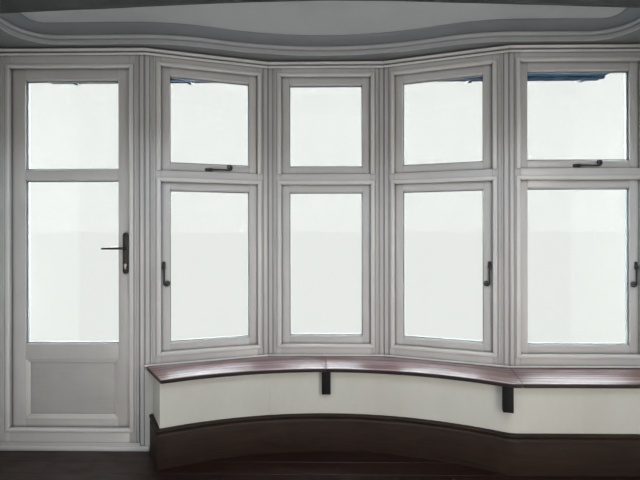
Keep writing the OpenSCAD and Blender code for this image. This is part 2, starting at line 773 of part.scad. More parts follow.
// A rail between two stiles, bevelled on the sides towards the panes.
module bevelled_rail(u0, u1, y, z0, z1, below, above) {
  b0 = below ? bevel : 0;
  b1 = above ? bevel : 0;
  translate([u0, y, 0]) rotate([90, 0, 90]) linear_extrude(u1 - u0) polygon([
    [0, z0 + b0], [b0, z0], [leaf_t - b0, z0], [leaf_t, z0 + b0],
    [leaf_t, z1 - b1], [leaf_t - b1, z1], [b1, z1], [0, z1 - b1]
  ]);
}

module sash_stiles() {
  inset = sash_w - lap;
  color(paint) for (row = rows, i = WINDOWS) on_facet(i) difference() {
    union() for (u = [open_u0(i) - lap, open_u1(i) + lap - sash_w])
      block(u, u + sash_w, sash_y, sash_y + leaf_t, ffl + row[0] - lap, ffl + row[1] + lap);
    stile_bevels(open_u0(i) + inset, open_u1(i) - inset, ffl + row[0] + inset, ffl + row[1] - inset, sash_y);
  }
}

module sash_rails() {
  inset = sash_w - lap;
  color(paint) for (row = rows, i = WINDOWS) on_facet(i) {
    u0 = open_u0(i) + inset;
    u1 = open_u1(i) - inset;
    bevelled_rail(u0, u1, sash_y, ffl + row[0] - lap, ffl + row[0] + inset, false, true);
    bevelled_rail(u0, u1, sash_y, ffl + row[1] - inset, ffl + row[1] + lap, true, false);
  }
}

glass_y = (leaf_t - glass_t) / 2;
module window_glass() {
  inset = sash_w - lap;
  color("#dfe8ea", 0.4) for (row = rows, i = WINDOWS) on_facet(i)
    block(open_u0(i) + inset, open_u1(i) - inset, sash_y + glass_y, sash_y + glass_y + glass_t,
      ffl + row[0] + inset, ffl + row[1] - inset);
}

// Fastener: a plate on the sash, a pivot, and a bar whose end is curled in three half turns.
curls = [1, 0.68, 0.4];
function curl_at(k, r) = k == 0 ? r : curl_at(k - 1, r) + (k % 2 == 1 ? 1 : -1) * r * (curls[k - 1] - curls[k]);

module fastener(tail, curl_r) {
  rotate([90, 0, 0]) {
    linear_extrude(3) {
      translate([-fastener_w / 2, -12]) square([fastener_w, fastener_plate_h]);
      translate([0, fastener_plate_h - 12]) circle(d = fastener_w, $fn = 32);
    }
    cylinder(d = 12, h = 14, $fn = 32);
    translate([0, 0, 10]) {
      rotate([90, 0, 0]) cylinder(d = bar_d, h = tail, $fn = 24);
      for (k = [0:2]) translate([curl_at(k, curl_r), -tail, 0]) rotate([0, 0, k % 2 == 1 ? 0 : 180])
        rotate_extrude(angle = 180, $fn = 48) translate([curl_r * curls[k], 0]) circle(d = bar_d, $fn = 24);
      translate([curl_at(2, curl_r) + curl_r * curls[2], -tail, 0]) sphere(d = bar_d + 2, $fn = 32);
    }
  }
}

module window_fasteners() {
  stay_z = transom_z0 + transom_h + fastener_inset;
  color("#17171a") {
    on_facet(1) translate([open_u0(1) + fastener_inset, sash_y, ffl + fastener_z])
      fastener(fastener_tail, fastener_curl);
    for (i = [3, 4]) on_facet(i) translate([open_u1(i) - fastener_inset, sash_y, ffl + fastener_z])
      mirror([1, 0, 0]) fastener(fastener_tail, fastener_curl);
    for (i = [1, 4]) on_facet(i) translate([open_u0(i) + open_w(i) / 2, sash_y, ffl + stay_z])
      rotate([0, -90, 0]) fastener(stay_tail, fastener_curl);
  }
}

// Door leaf, hung on the left and opening outwards.
leaf_y0 = stop_t + door_gap;
leaf_y1 = leaf_y0 + leaf_t;
leaf_u0 = jamb_hinge_w - lap;
leaf_u1 = jamb_hinge_w + door_open_w + lap;
stile_in0 = leaf_u0 + door_stile_w;
stile_in1 = leaf_u1 - door_stile_w;
handle_u = jamb_hinge_w + door_open_w - handle_inset;
handle_z = ffl + leaf_z0 + lever_z;
lift_z = ffl + leaf_z0;
bore_gap = 2;
spindle_d = 8;

// The door's two panes, as heights above the slab
door_panes = [
  [ffl + door_glass_z, ffl + door_bar_z],
  [ffl + door_bar_z + door_bar_h, ffl + door_top - door_top_rail_h]
];

module door_stiles() {
  color(paint) on_facet(DOOR) difference() {
    union() for (u = [leaf_u0, stile_in1])
      block(u, u + door_stile_w, leaf_y0, leaf_y1, lift_z, lift_z + leaf_h);
    for (pane = door_panes) stile_bevels(stile_in0, stile_in1, pane[0], pane[1], leaf_y0);
    translate([handle_u, leaf_y0 - 1, handle_z]) rotate([-90, 0, 0])
      cylinder(d = neck_d + 2 * bore_gap, h = leaf_t + 2, $fn = 48);
  }
}

panel_z0 = leaf_z0 + bottom_rail_h;
panel_z1 = door_glass_z - lock_rail_h;
module door_rails() {
  color(paint) on_facet(DOOR) {
    bevelled_rail(stile_in0, stile_in1, leaf_y0, lift_z, ffl + panel_z0, false, false);
    bevelled_rail(stile_in0, stile_in1, leaf_y0, ffl + panel_z1, door_panes[0][0], false, true);
    bevelled_rail(stile_in0, stile_in1, leaf_y0, door_panes[0][1], door_panes[1][0], true, true);
    bevelled_rail(stile_in0, stile_in1, leaf_y0, door_panes[1][1], ffl + door_top, true, false);
  }
}

module door_glass() {
  y = leaf_y0 + glass_y;
  color("#dfe8ea", 0.4) on_facet(DOOR) {
    for (pane = door_panes) block(stile_in0, stile_in1, y, y + glass_t, pane[0], pane[1]);
  }
}

panel_t = 24;
module door_panel() {
  y = leaf_y0 + (leaf_t - panel_t) / 2;
  color(paint) on_facet(DOOR)
    block(stile_in0, stile_in1, y, y + panel_t, ffl + panel_z0, ffl + panel_z1);
}

// Mitred bolection round the panel on the room side.
module door_beads() {
  w = stile_in1 - stile_in0;
  h = panel_z1 - panel_z0;
  y = leaf_y0 + (leaf_t - panel_t) / 2;
  color(paint) on_facet(DOOR) translate([stile_in0, y, ffl + panel_z0]) {
    inner_bead(w);
    translate([0, 0, h]) mirror([0, 0, 1]) inner_bead(w);
    translate([w, 0, 0]) rotate([0, -90, 0]) inner_bead(h);
    mirror([1, 0, 0]) rotate([0, -90, 0]) inner_bead(h);
  }
}

panel_bead_t = 10;
module inner_bead(len) {
  w = panel_bead_w;
  intersection() {
    rotate([90, 0, 90]) linear_extrude(len)
      polygon([[0, 0], [-panel_bead_t, 0], [1 - panel_bead_t, 6], [-6, 10], [-5, w - 5], [-2, w], [0, w]]);
    translate([0, 1, 0]) rotate([90, 0, 0]) linear_extrude(panel_bead_t + 2) polygon([
      [joint, 0], [len - joint, 0], [len - w - joint, w], [w + joint, w]
    ]);
  }
}

// Handle plates on both faces of the lock stile, with the lock cylinder under the lever.
module handle_plate() {
  rotate([90, 0, 0]) difference() {
    union() {
      linear_extrude(plate_t) translate([0, -plate_drop]) {
        square([plate_w, plate_h - plate_w], center = true);
        for (s = [-1, 1]) translate([0, s * (plate_h - plate_w) / 2]) circle(d = plate_w, $fn = 48);
      }
      translate([0, -cylinder_drop, plate_t - eps]) cylinder(d = 17, h = 4, $fn = 32);
      translate([-4, -cylinder_drop - 22, plate_t - eps]) cube([8, 18, 3]);
    }
    translate([0, 0, -1]) cylinder(d = neck_d + 2 * run_gap, h = plate_t + 2, $fn = 64);
  }
}

module door_plates() {
  color("#17171a") on_facet(DOOR) {
    translate([handle_u, leaf_y0, handle_z]) handle_plate();
    translate([handle_u, leaf_y1, handle_z]) mirror([0, 1, 0]) handle_plate();
  }
}

// Levers, drawn at the spindle on the face of the leaf, pointing back over the leaf. They taper towards
// the tip and are level below.
lever_out = 38;
lever_t = 12;
module lever() {
  tip_r = lever_tip_h / 2;
  rotate([90, 0, 0]) {
    cylinder(d = neck_d, h = lever_out, $fn = 64);
    translate([0, 0, lever_out - lever_t]) linear_extrude(lever_t) {
      polygon([
        [0, -tip_r], [0, lever_root_h - tip_r], [tip_r - lever_len, tip_r], [tip_r - lever_len, -tip_r]
      ]);
      translate([tip_r - lever_len, 0]) circle(r = tip_r, $fn = 32);
      circle(d = 20, $fn = 48);
    }
  }
}

module lever_handle() {
  color("#17171a") on_facet(DOOR) {
    translate([handle_u, leaf_y0, handle_z]) lever();
    translate([handle_u, leaf_y1, handle_z]) mirror([0, 1, 0]) lever();
    translate([handle_u, leaf_y0 - 1, handle_z]) rotate([-90, 0, 0])
      cylinder(d = spindle_d, h = leaf_t + 2, $fn = 32);
  }
}

// Butt hinges: five knuckles on one pin, with leaves let in between the door and its jamb.
knuckle_r = 7;
hinge_u = leaf_u0 - door_gap / 2;
hinge_y = frame_d + knuckle_r + 1;
hinge_zs = [lift_z + 200, lift_z + leaf_h / 2, lift_z + leaf_h - 200];
hinge_leaf_t = (door_gap - 1) / 2;
knuckle_len = hinge_len / 5;
knuckle_h = knuckle_len - 2 * joint;

// One leaf with its knuckles, in the side s of the gap: -1 on the jamb, 1 on the door.
module hinge_leaf(s, ks) {
  u = s * (door_gap - hinge_leaf_t) / 2;
  deep = hinge_y - leaf_y0 - 8;
  translate([u - hinge_leaf_t / 2, -deep, -hinge_len / 2 + joint])
    cube([hinge_leaf_t, deep - knuckle_r - 1, hinge_len - 2 * joint]);
  for (k = ks) translate([0, 0, k * knuckle_len - hinge_len / 2 + joint]) {
    cylinder(r = knuckle_r, h = knuckle_h, $fn = 48);
    translate([u - hinge_leaf_t / 2, -knuckle_r - 2, 0]) cube([hinge_leaf_t, knuckle_r + 2, knuckle_h]);
  }
}

module frame_hinges() {
  color("#3a3a3c") on_facet(DOOR) for (z = hinge_zs) translate([hinge_u, hinge_y, z]) {
    hinge_leaf(-1, [0, 2, 4]);
    cylinder(d = pin_d, h = hinge_len - 2 * joint, center = true, $fn = 48);
  }
}

module door_hinges() {
  color("#3a3a3c") on_facet(DOOR) for (z = hinge_zs) translate([hinge_u, hinge_y, z]) difference() {
    hinge_leaf(1, [1, 3]);
    cylinder(d = pin_d + 2 * run_gap, h = hinge_len, center = true, $fn = 48);
  }
}

// Roof: a sloped deck over the bay, its closed ends and the eave outside the windows.
fascia_t = 22;
fascia_h = 130;
fascia_drop = 15;
deck_t = 40;
roof_x0 = wall_x0 - side_t;
roof_x1 = wall_x1 + side_t;
deck_z0 = ffl + soffit_z + fascia_h - fascia_drop;
function slope_z(y) = deck_z0 + (eave_y + fascia_t - y) * tan(pitch);

module sloped(y0, y1, low, high) {
  translate([roof_x0, 0, 0]) rotate([90, 0, 90]) linear_extrude(roof_x1 - roof_x0) polygon([
    [y1, slope_z(y1) + low], [y1, slope_z(y1) + high],
    [y0, slope_z(y0) + high], [y0, slope_z(y0) + low]
  ]);
}

module roof_deck() { color("#6b5a48") sloped(beam_back, eave_y + fascia_t, 0, deck_t); }

module wall_over_beam() {
  color(plaster) block(roof_x0, roof_x1, -recess_d, beam_back, beam_z0 + beam_h,
    slope_z(beam_back) + deck_t + 90);
}

module roof_cheeks() {
  low = side_top;
  color(plaster) for (x = [roof_x0, wall_x1])
    translate([x, 0, 0]) rotate([90, 0, 90]) linear_extrude(side_t) polygon([
      [beam_back, low], [frame_d, low], [frame_d, ffl + soffit_z + 12], [eave_y, ffl + soffit_z + 12],
      [eave_y, slope_z(eave_y) - joint], [beam_back, slope_z(beam_back) - joint]
    ]);
}

soffit_t = 12;
module soffit() {
  outline = [
    [roof_x0, frame_d], to_plan(1, strip(1, 0, frame_d)[3]), to_plan(2, strip(2, 0, frame_d)[3]),
    to_plan(3, strip(3, 0, frame_d)[3]), to_plan(4, strip(4, 0, frame_d)[3]), [roof_x1, frame_d],
    [roof_x1, eave_y], [roof_x0, eave_y]
  ];
  color("#46627a") translate([0, 0, ffl + soffit_z]) linear_extrude(soffit_t) polygon(outline);
}

// The fascia board's top is planed to the slope of the deck.
module fascia() {
  z0 = ffl + soffit_z - fascia_drop;
  color("#46627a") translate([roof_x0, 0, 0]) rotate([90, 0, 90]) linear_extrude(roof_x1 - roof_x0)
    polygon([
      [eave_y, z0], [eave_y + fascia_t, z0],
      [eave_y + fascia_t, slope_z(eave_y + fascia_t) - joint], [eave_y, slope_z(eave_y) - joint]
    ]);
}

gutter_r = 56;
gutter_y = eave_y + fascia_t + gutter_r + 2;
gutter_z = ffl + soffit_z + 53;
module gutter() {
  color("#22262b") translate([roof_x0, gutter_y, gutter_z]) rotate([0, 90, 0]) difference() {
    cylinder(r = gutter_r, h = roof_x1 - roof_x0, $fn = 64);
    translate([0, 0, 3]) cylinder(r = gutter_r - 3, h = roof_x1 - roof_x0 - 6, $fn = 64);
    translate([-100, -100, -1]) cube([100, 200, roof_x1 - roof_x0 + 2]);
  }
}

// The gutter's brackets stand where they show over the eave, closer together by the ends of the roof.
gutter_bracket_xs = [-1727, -937, 24, 985, 1741];
gutter_bracket_w = 25;
module gutter_brackets() {
  w = gutter_bracket_w;
  color("#22262b") for (x = gutter_bracket_xs) translate([x - w / 2, gutter_y, gutter_z])
    rotate([0, 90, 0]) difference() {
      union() {
        cylinder(r = gutter_r + 6, h = w, $fn = 64);
        translate([0, -gutter_r - 2, 0]) cube([gutter_r + 14, gutter_r, w]);
      }
      translate([0, 0, -1]) cylinder(r = gutter_r + joint, h = w + 2, $fn = 64);
      translate([-100, -100, -1]) cube([100, 200, w + 2]);
      translate([-1, -gutter_r - 100 - 2, -1]) cube([100, 100, w + 2]);
    }
}

floor_slab();
floor_boards();
dwarf_wall(1);  // dwarf_wall_left
dwarf_wall(2);  // dwarf_wall_centre
dwarf_wall(3);  // dwarf_wall_right
dwarf_wall(4);  // dwarf_wall_end
side_wall_left();
side_wall_right();
oak_beam();
wall_over_beam();
bay_ceiling();
cornice();
cornice_board();
wall_plate();
roof_deck();
roof_cheeks();
soffit();
fascia();
gutter();
gutter_brackets();
window_board();
board_brackets();
skirting();
corner_posts();
end_jambs();
frame_heads();
window_sills();
outer_sills();
transoms();
door_threshold();
frame_beads();
head_mouldings();
sash_stiles();
sash_rails();
window_glass();
window_fasteners();
door_stiles();
door_rails();
door_glass();
door_panel();
door_beads();
door_plates();
frame_hinges();
door_hinges();
lever_handle();
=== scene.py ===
"""Bay window of five lights, seen from the room.

A half-glazed garden door and four casement windows stand in a painted timber frame that follows a shallow curve
in plan, over a low bowed wall with a polished board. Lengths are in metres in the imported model's own frame:
X runs along the bay, Y outdoors, Z up.
"""

import json
import logging
import math
from dataclasses import dataclass, replace
from enum import Enum
from typing import Any, Iterable, Optional, Sequence, Union

import bmesh
import bpy
from mathutils import Matrix, Vector, noise

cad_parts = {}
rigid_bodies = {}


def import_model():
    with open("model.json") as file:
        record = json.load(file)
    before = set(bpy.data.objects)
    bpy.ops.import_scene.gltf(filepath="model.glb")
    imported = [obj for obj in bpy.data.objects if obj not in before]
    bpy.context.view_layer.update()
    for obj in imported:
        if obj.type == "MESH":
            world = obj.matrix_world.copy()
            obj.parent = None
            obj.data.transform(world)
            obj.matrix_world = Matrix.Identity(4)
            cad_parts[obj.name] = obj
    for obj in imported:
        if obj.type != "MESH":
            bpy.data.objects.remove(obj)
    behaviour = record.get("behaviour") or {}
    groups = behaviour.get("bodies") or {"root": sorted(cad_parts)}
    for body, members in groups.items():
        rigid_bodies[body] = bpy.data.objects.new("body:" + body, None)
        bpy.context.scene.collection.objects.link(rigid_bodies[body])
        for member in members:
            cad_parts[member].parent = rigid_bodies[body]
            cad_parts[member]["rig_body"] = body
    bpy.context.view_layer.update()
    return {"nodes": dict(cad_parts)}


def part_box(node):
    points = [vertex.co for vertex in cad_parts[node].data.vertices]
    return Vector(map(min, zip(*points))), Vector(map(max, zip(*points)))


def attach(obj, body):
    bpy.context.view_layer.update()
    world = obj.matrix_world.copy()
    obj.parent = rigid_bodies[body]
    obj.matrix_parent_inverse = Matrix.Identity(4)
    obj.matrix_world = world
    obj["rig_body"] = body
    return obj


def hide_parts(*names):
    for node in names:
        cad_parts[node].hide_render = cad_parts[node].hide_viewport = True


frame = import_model()
log = logging.getLogger("bay_window")

Colour = tuple[float, float, float]
Feed = Union[float, int, bool, str, tuple, bpy.types.NodeSocket, Any]


def tint(red: int, green: int, blue: int) -> Colour:
    """Turns a display colour into the linear one that shaders take.

    Args:
        red, green, blue: display values from 0 to 255.
    Returns:
        The linear colour.
    """
    def linear(value: float) -> float:
        """One channel, from display to linear."""
        return value / 12.92 if value <= 0.04045 else ((value + 0.055) / 1.055) ** 2.4
    return linear(red / 255), linear(green / 255), linear(blue / 255)


# Node trees


class Web:
    """Builds the nodes of one tree and joins them."""

    def __init__(self, tree: bpy.types.NodeTree) -> None:
        """Starts on an empty tree.

        Args:
            tree: the shader or geometry tree to fill.
        """
        self.tree = tree
        self.tree.nodes.clear()
        self.made = 0

    def make(self, kind: str, settings: Optional[dict[str, Any]] = None,
             feeds: Optional[dict[Union[str, int], Feed]] = None) -> bpy.types.Node:
        """Adds one node.

        Args:
            kind: the node's type name.
            settings: properties of the node.
            feeds: a value or a socket for each input, by name or number.
        Returns:
            The new node.
        """
        node = self.tree.nodes.new(kind)
        node.location = (210 * (self.made % 10), -260 * (self.made // 10))
        self.made += 1
        for name, value in (settings or {}).items():
            setattr(node, name, value)
        for key, value in (feeds or {}).items():
            self.feed(node.inputs[key], value)
        return node

    def out(self, kind: str, feeds: Optional[dict[Union[str, int], Feed]] = None, port: Union[str, int] = 0,
            **settings: Any) -> bpy.types.NodeSocket:
        """Adds one node and hands on one of its outputs.

        Args:
            kind: the node's type name.
            feeds: a value or a socket for each input, by name or number.
            port: the output's name or number.
            settings: properties of the node.
        Returns:
            The output.
        """
        return self.make(kind, settings, feeds).outputs[port]

    def feed(self, socket: bpy.types.NodeSocket, value: Feed) -> None:
        """Joins a socket to an input, or sets the input's own value.

        Args:
            socket: the input.
            value: a socket to join to it, or its value.
        """
        if isinstance(value, bpy.types.NodeSocket):
            self.tree.links.new(value, socket)
        else:
            socket.default_value = value

    def calc(self, operation: str, *terms: Feed) -> bpy.types.NodeSocket:
        """One step of arithmetic.

        Args:
            operation: the Math node's operation.
            terms: its one to three inputs.
        Returns:
            The result.
        """
        return self.out("ShaderNodeMath", dict(enumerate(terms)), operation=operation)

    def plus(self, first: Feed, second: Feed) -> bpy.types.NodeSocket:
        """The sum of two values."""
        return self.calc("ADD", first, second)

    def minus(self, first: Feed, second: Feed) -> bpy.types.NodeSocket:
        """The first value less the second."""
        return self.calc("SUBTRACT", first, second)

    def times(self, first: Feed, second: Feed) -> bpy.types.NodeSocket:
        """The product of two values."""
        return self.calc("MULTIPLY", first, second)

    def weigh(self, first: Feed, part: float, second: Feed, rest: float) -> bpy.types.NodeSocket:
        """The sum of two values, each times its own weight.

        Args:
            first, second: the values.
            part, rest: their weights.
        Returns:
            The sum.
        """
        return self.plus(self.times(first, part), self.times(second, rest))

    def above(self, value: Feed, limit: Feed) -> bpy.types.NodeSocket:
        """One where a value is greater than a limit, and nought elsewhere."""
        return self.calc("GREATER_THAN", value, limit)

    def cell(self, value: Feed, size: Feed) -> bpy.types.NodeSocket:
        """The number of the cell of a given size that a value lies in."""
        return self.calc("FLOOR", self.calc("DIVIDE", value, size))

    def vector(self, x: Feed, y: Feed, z: Feed) -> bpy.types.NodeSocket:
        """A vector of three values."""
        return self.out("ShaderNodeCombineXYZ", {0: x, 1: y, 2: z})

    def split(self, vector: bpy.types.NodeSocket) -> Any:
        """The three values of a vector, by number."""
        return self.make("ShaderNodeSeparateXYZ", None, {0: vector}).outputs

    def spread(self, value: bpy.types.NodeSocket, low: float, high: float, start: float = 0.3,
               end: float = 0.7) -> bpy.types.NodeSocket:
        """Maps one range onto another, and holds the ends.

        Args:
            value: the value to map.
            low, high: the range that it is mapped onto.
            start, end: the range that it comes from.
        Returns:
            The mapped value.
        """
        return self.out("ShaderNodeMapRange", {"Value": value, "From Min": start, "From Max": end, "To Min": low,
                                               "To Max": high}, clamp=True)

    def choose(self, share: Feed, first: bpy.types.NodeSocket, second: bpy.types.NodeSocket) -> bpy.types.NodeSocket:
        """Mixes two shaders.

        Args:
            share: how much of the second one shows.
            first, second: the shaders.
        Returns:
            The mixed shader.
        """
        return self.out("ShaderNodeMixShader", {0: share, 1: first, 2: second})


class SurfaceWeb(Web):
    """The nodes of a material."""

    def here(self) -> bpy.types.NodeSocket:
        """The object's own coordinates."""
        return self.out("ShaderNodeTexCoord", port="Object")

    def place(self, scale: Sequence[float] = (1, 1, 1), shift: Sequence[float] = (0, 0, 0),
              source: Optional[bpy.types.NodeSocket] = None) -> bpy.types.NodeSocket:
        """Object coordinates, stretched and moved.

        Args:
            scale: how much finer the pattern gets along each axis.
            shift: how far the pattern moves.
            source: coordinates to use in place of the object's own.
        Returns:
            The coordinates.
        """
        start = self.here() if source is None else source
        return self.out("ShaderNodeMapping", {"Vector": start, "Location": tuple(shift), "Scale": tuple(scale)})

    def grain(self, where: bpy.types.NodeSocket, scale: float, detail: float = 4, rough: float = 0.55,
              bend: float = 0) -> bpy.types.NodeSocket:
        """Noise.

        Args:
            where: the coordinates that it is read at.
            scale: its fineness.
            detail: how many finer layers it has.
            rough: how strong the finer layers are.
            bend: how far it is distorted.
        Returns:
            A value from 0 to 1.
        """
        return self.out("ShaderNodeTexNoise",
                        {"Vector": where, "Scale": scale, "Detail": detail, "Roughness": rough, "Distortion": bend})

    def blend(self, share: Feed, first: Feed, second: Feed) -> bpy.types.NodeSocket:
        """Mixes two colours.

        Args:
            share: how much of the second colour shows.
            first, second: the colours, as sockets or as three numbers.
        Returns:
            The mixed colour.
        """
        node = self.make("ShaderNodeMix", {"data_type": "RGBA", "blend_type": "MIX", "clamp_factor": True})
        for number, value in ((0, share), (6, first), (7, second)):
            whole = (*value, 1.0) if isinstance(value, tuple) and len(value) == 3 else value
            self.feed(node.inputs[number], whole)
        return node.outputs[2]

    def relief(self, height: bpy.types.NodeSocket, depth: float,
               under: Optional[bpy.types.NodeSocket] = None, strength: float = 1.0) -> bpy.types.NodeSocket:
        """A bump of a real depth.

        Args:
            height: its height, from 0 to 1.
            depth: what a height of 1 stands for, in metres.
            under: the normal of a bump that it lies on.
            strength: the share of it that shows.
        Returns:
            The bumped normal.
        """
        feeds: dict[Union[str, int], Feed] = {"Height": height, "Distance": depth, "Strength": strength}
        if under is not None:
            feeds["Normal"] = under
        return self.out("ShaderNodeBump", feeds)

    def surface(self, **feeds: Feed) -> bpy.types.NodeSocket:
        """The surface shader, with its inputs by name, where an underscore stands for a space."""
        return self.out("ShaderNodeBsdfPrincipled", {key.replace("_", " "): value for key, value in feeds.items()})

    def glow(self, colour: Colour, strength: float) -> bpy.types.NodeSocket:
        """A shader that gives off light."""
        return self.out("ShaderNodeEmission", {"Color": (*colour, 1.0), "Strength": strength})

    def show(self, shader: bpy.types.NodeSocket) -> None:
        """Sends a shader to the material's output."""
        self.make("ShaderNodeOutputMaterial", None, {"Surface": shader})

    def painted_shade(self, width: float, most: float) -> bpy.types.NodeSocket:
        """The share of painted shade at a point, from how closely nearby faces close it in.

        Args:
            width: how far the faces are that shade it.
            most: the share where a point is closed in most.
        Returns:
            A share from 0 in the open to most.
        """
        shaded = self.out("ShaderNodeAmbientOcclusion", {"Distance": width}, port="AO", samples=6)
        return self.spread(shaded, most, 0, 0.3, 0.95)


# Finishes

class Grain(Enum):
    """The way that a member's length runs, with the stretch of brush marks or grain along it."""

    ALONG = (0.02, 1.0, 1.0)
    ACROSS = (0.06, 0.06, 1.0)
    UPRIGHT = (1.0, 1.0, 0.02)
    OUTWARD = (1.0, 0.02, 1.0)

    def at(self, fineness: float) -> tuple[float, float, float]:
        """The stretch times a fineness per metre."""
        return tuple(fineness * value for value in self.value)


@dataclass(frozen=True)
class Finish:
    """A named finish. Each kind of finish draws its own nodes."""

    name: str

    def draw(self, web: SurfaceWeb) -> None:
        """Draws the finish's nodes in web."""
        raise NotImplementedError

    def material(self) -> bpy.types.Material:
        """The finish's material, made once."""
        known = bpy.data.materials.get(self.name)
        if known is not None:
            return known
        made = bpy.data.materials.new(self.name)
        made.use_nodes = True
        self.draw(SurfaceWeb(made.node_tree))
        return made


@dataclass(frozen=True)
class Paint(Finish):
    """Oil paint on joinery, with faint brush marks along the member, soft smudges, and painted shade where faces close
    in.

    Each of the grooves is a quirk up the member: its distance from the bay's middle and half its width. Each quirk is a
    bump with painted shade at its bottom.
    """

    tone: Colour = tint(174, 173, 173)
    soiled: Colour = tint(152, 150, 149)
    # The colour of the painted shade where nearby faces close a point in, and at the bottom of each quirk.
    shade_tone: Colour = tint(78, 78, 80)
    lay: Grain = Grain.UPRIGHT
    gloss: float = 0.25
    # How far away nearby faces still add painted shade.
    shade_reach: float = 0.016
    grooves: tuple[tuple[float, float], ...] = ()

    def cut(self, web: SurfaceWeb) -> bpy.types.NodeSocket:
        """How deep a point lies in the quirks that are run up a member.

        Args:
            web: the material's nodes.
        Returns:
            A share from 0 on the face to 1 at the bottom of a quirk.
        """
        away = web.calc("ABSOLUTE", web.split(web.here())[0])
        deepest: Feed = 0.0
        for place, half in self.grooves:
            gap = web.calc("ABSOLUTE", web.minus(away, place))
            deepest = web.calc("MAXIMUM", web.spread(gap, 1, 0, half * 0.4, half), deepest)
        return deepest

    def draw(self, web: SurfaceWeb) -> None:
        """Draws brush marks, nibs, smudges, quirks, wear of the gloss, and painted shade in corners and quirks.

        Args:
            web: the material's nodes.
        """
        marks = web.grain(web.place(self.lay.at(420)), 1.0, 3, 0.6)
        broad = web.grain(web.place(self.lay.at(90)), 1.0, 2, 0.5)
        nibs = web.grain(web.place(), 650, 2, 0.5)
        smudge = web.grain(web.place(), 4.5, 6, 0.62)
        streak = web.grain(web.place(self.lay.at(60), (3, 1, 2)), 1.0, 4, 0.6)
        dirt = web.times(web.spread(smudge, 0, 1, 0.42, 0.75), web.spread(streak, 0.25, 1))
        worn = web.blend(web.times(dirt, 0.55), self.tone, self.soiled)
        # Painted shade: darker where nearby faces close a point in.
        colour = web.blend(web.painted_shade(self.shade_reach, 0.8), worn, self.shade_tone)
        under = web.relief(broad, 0.0006, strength=0.5)
        if self.grooves:
            quirk = self.cut(web)
            # Painted shade at the bottom of each quirk.
            colour = web.blend(web.times(quirk, 0.55), colour, self.shade_tone)
            under = web.relief(web.minus(1.0, quirk), 0.004, under)
        fine = web.relief(marks, 0.00022, under, 0.6)
        normal = web.relief(nibs, 0.00006, fine, 0.5)
        rough = web.spread(web.weigh(marks, 0.5, smudge, 0.5), self.gloss, self.gloss + 0.16)
        web.show(web.surface(Base_Color=colour, Roughness=rough, Normal=normal, IOR=1.48))


@dataclass(frozen=True)
class Plaster(Finish):
    """Hand-trowelled plaster under matt paint."""

    tone: Colour = tint(176, 176, 171)
    stain: Colour = tint(157, 155, 147)
    wave: float = 0.0022

    def draw(self, web: SurfaceWeb) -> None:
        """Draws trowel waves, roller stipple and faint stains.

        Args:
            web: the material's nodes.
        """
        wave = web.grain(web.place(), 5.5, 3, 0.5, 0.4)
        sweep = web.grain(web.place((1, 1, 0.35)), 26, 4, 0.55, 0.8)
        stipple = web.grain(web.place(), 420, 3, 0.6)
        stain = web.spread(web.grain(web.place((1, 1, 0.6), (5, 2, 1)), 2.6, 7, 0.62), 0, 0.6, 0.45, 0.8)
        colour = web.blend(stain, self.tone, self.stain)
        pitted = web.blend(web.spread(stipple, 0.10, 0, 0.28, 0.5), colour, self.stain)
        under = web.relief(wave, self.wave)
        swept = web.relief(sweep, 0.0009, under, 0.7)
        normal = web.relief(stipple, 0.0003, swept, 0.6)
        web.show(web.surface(Base_Color=pitted, Roughness=web.spread(stipple, 0.78, 0.92), Normal=normal))


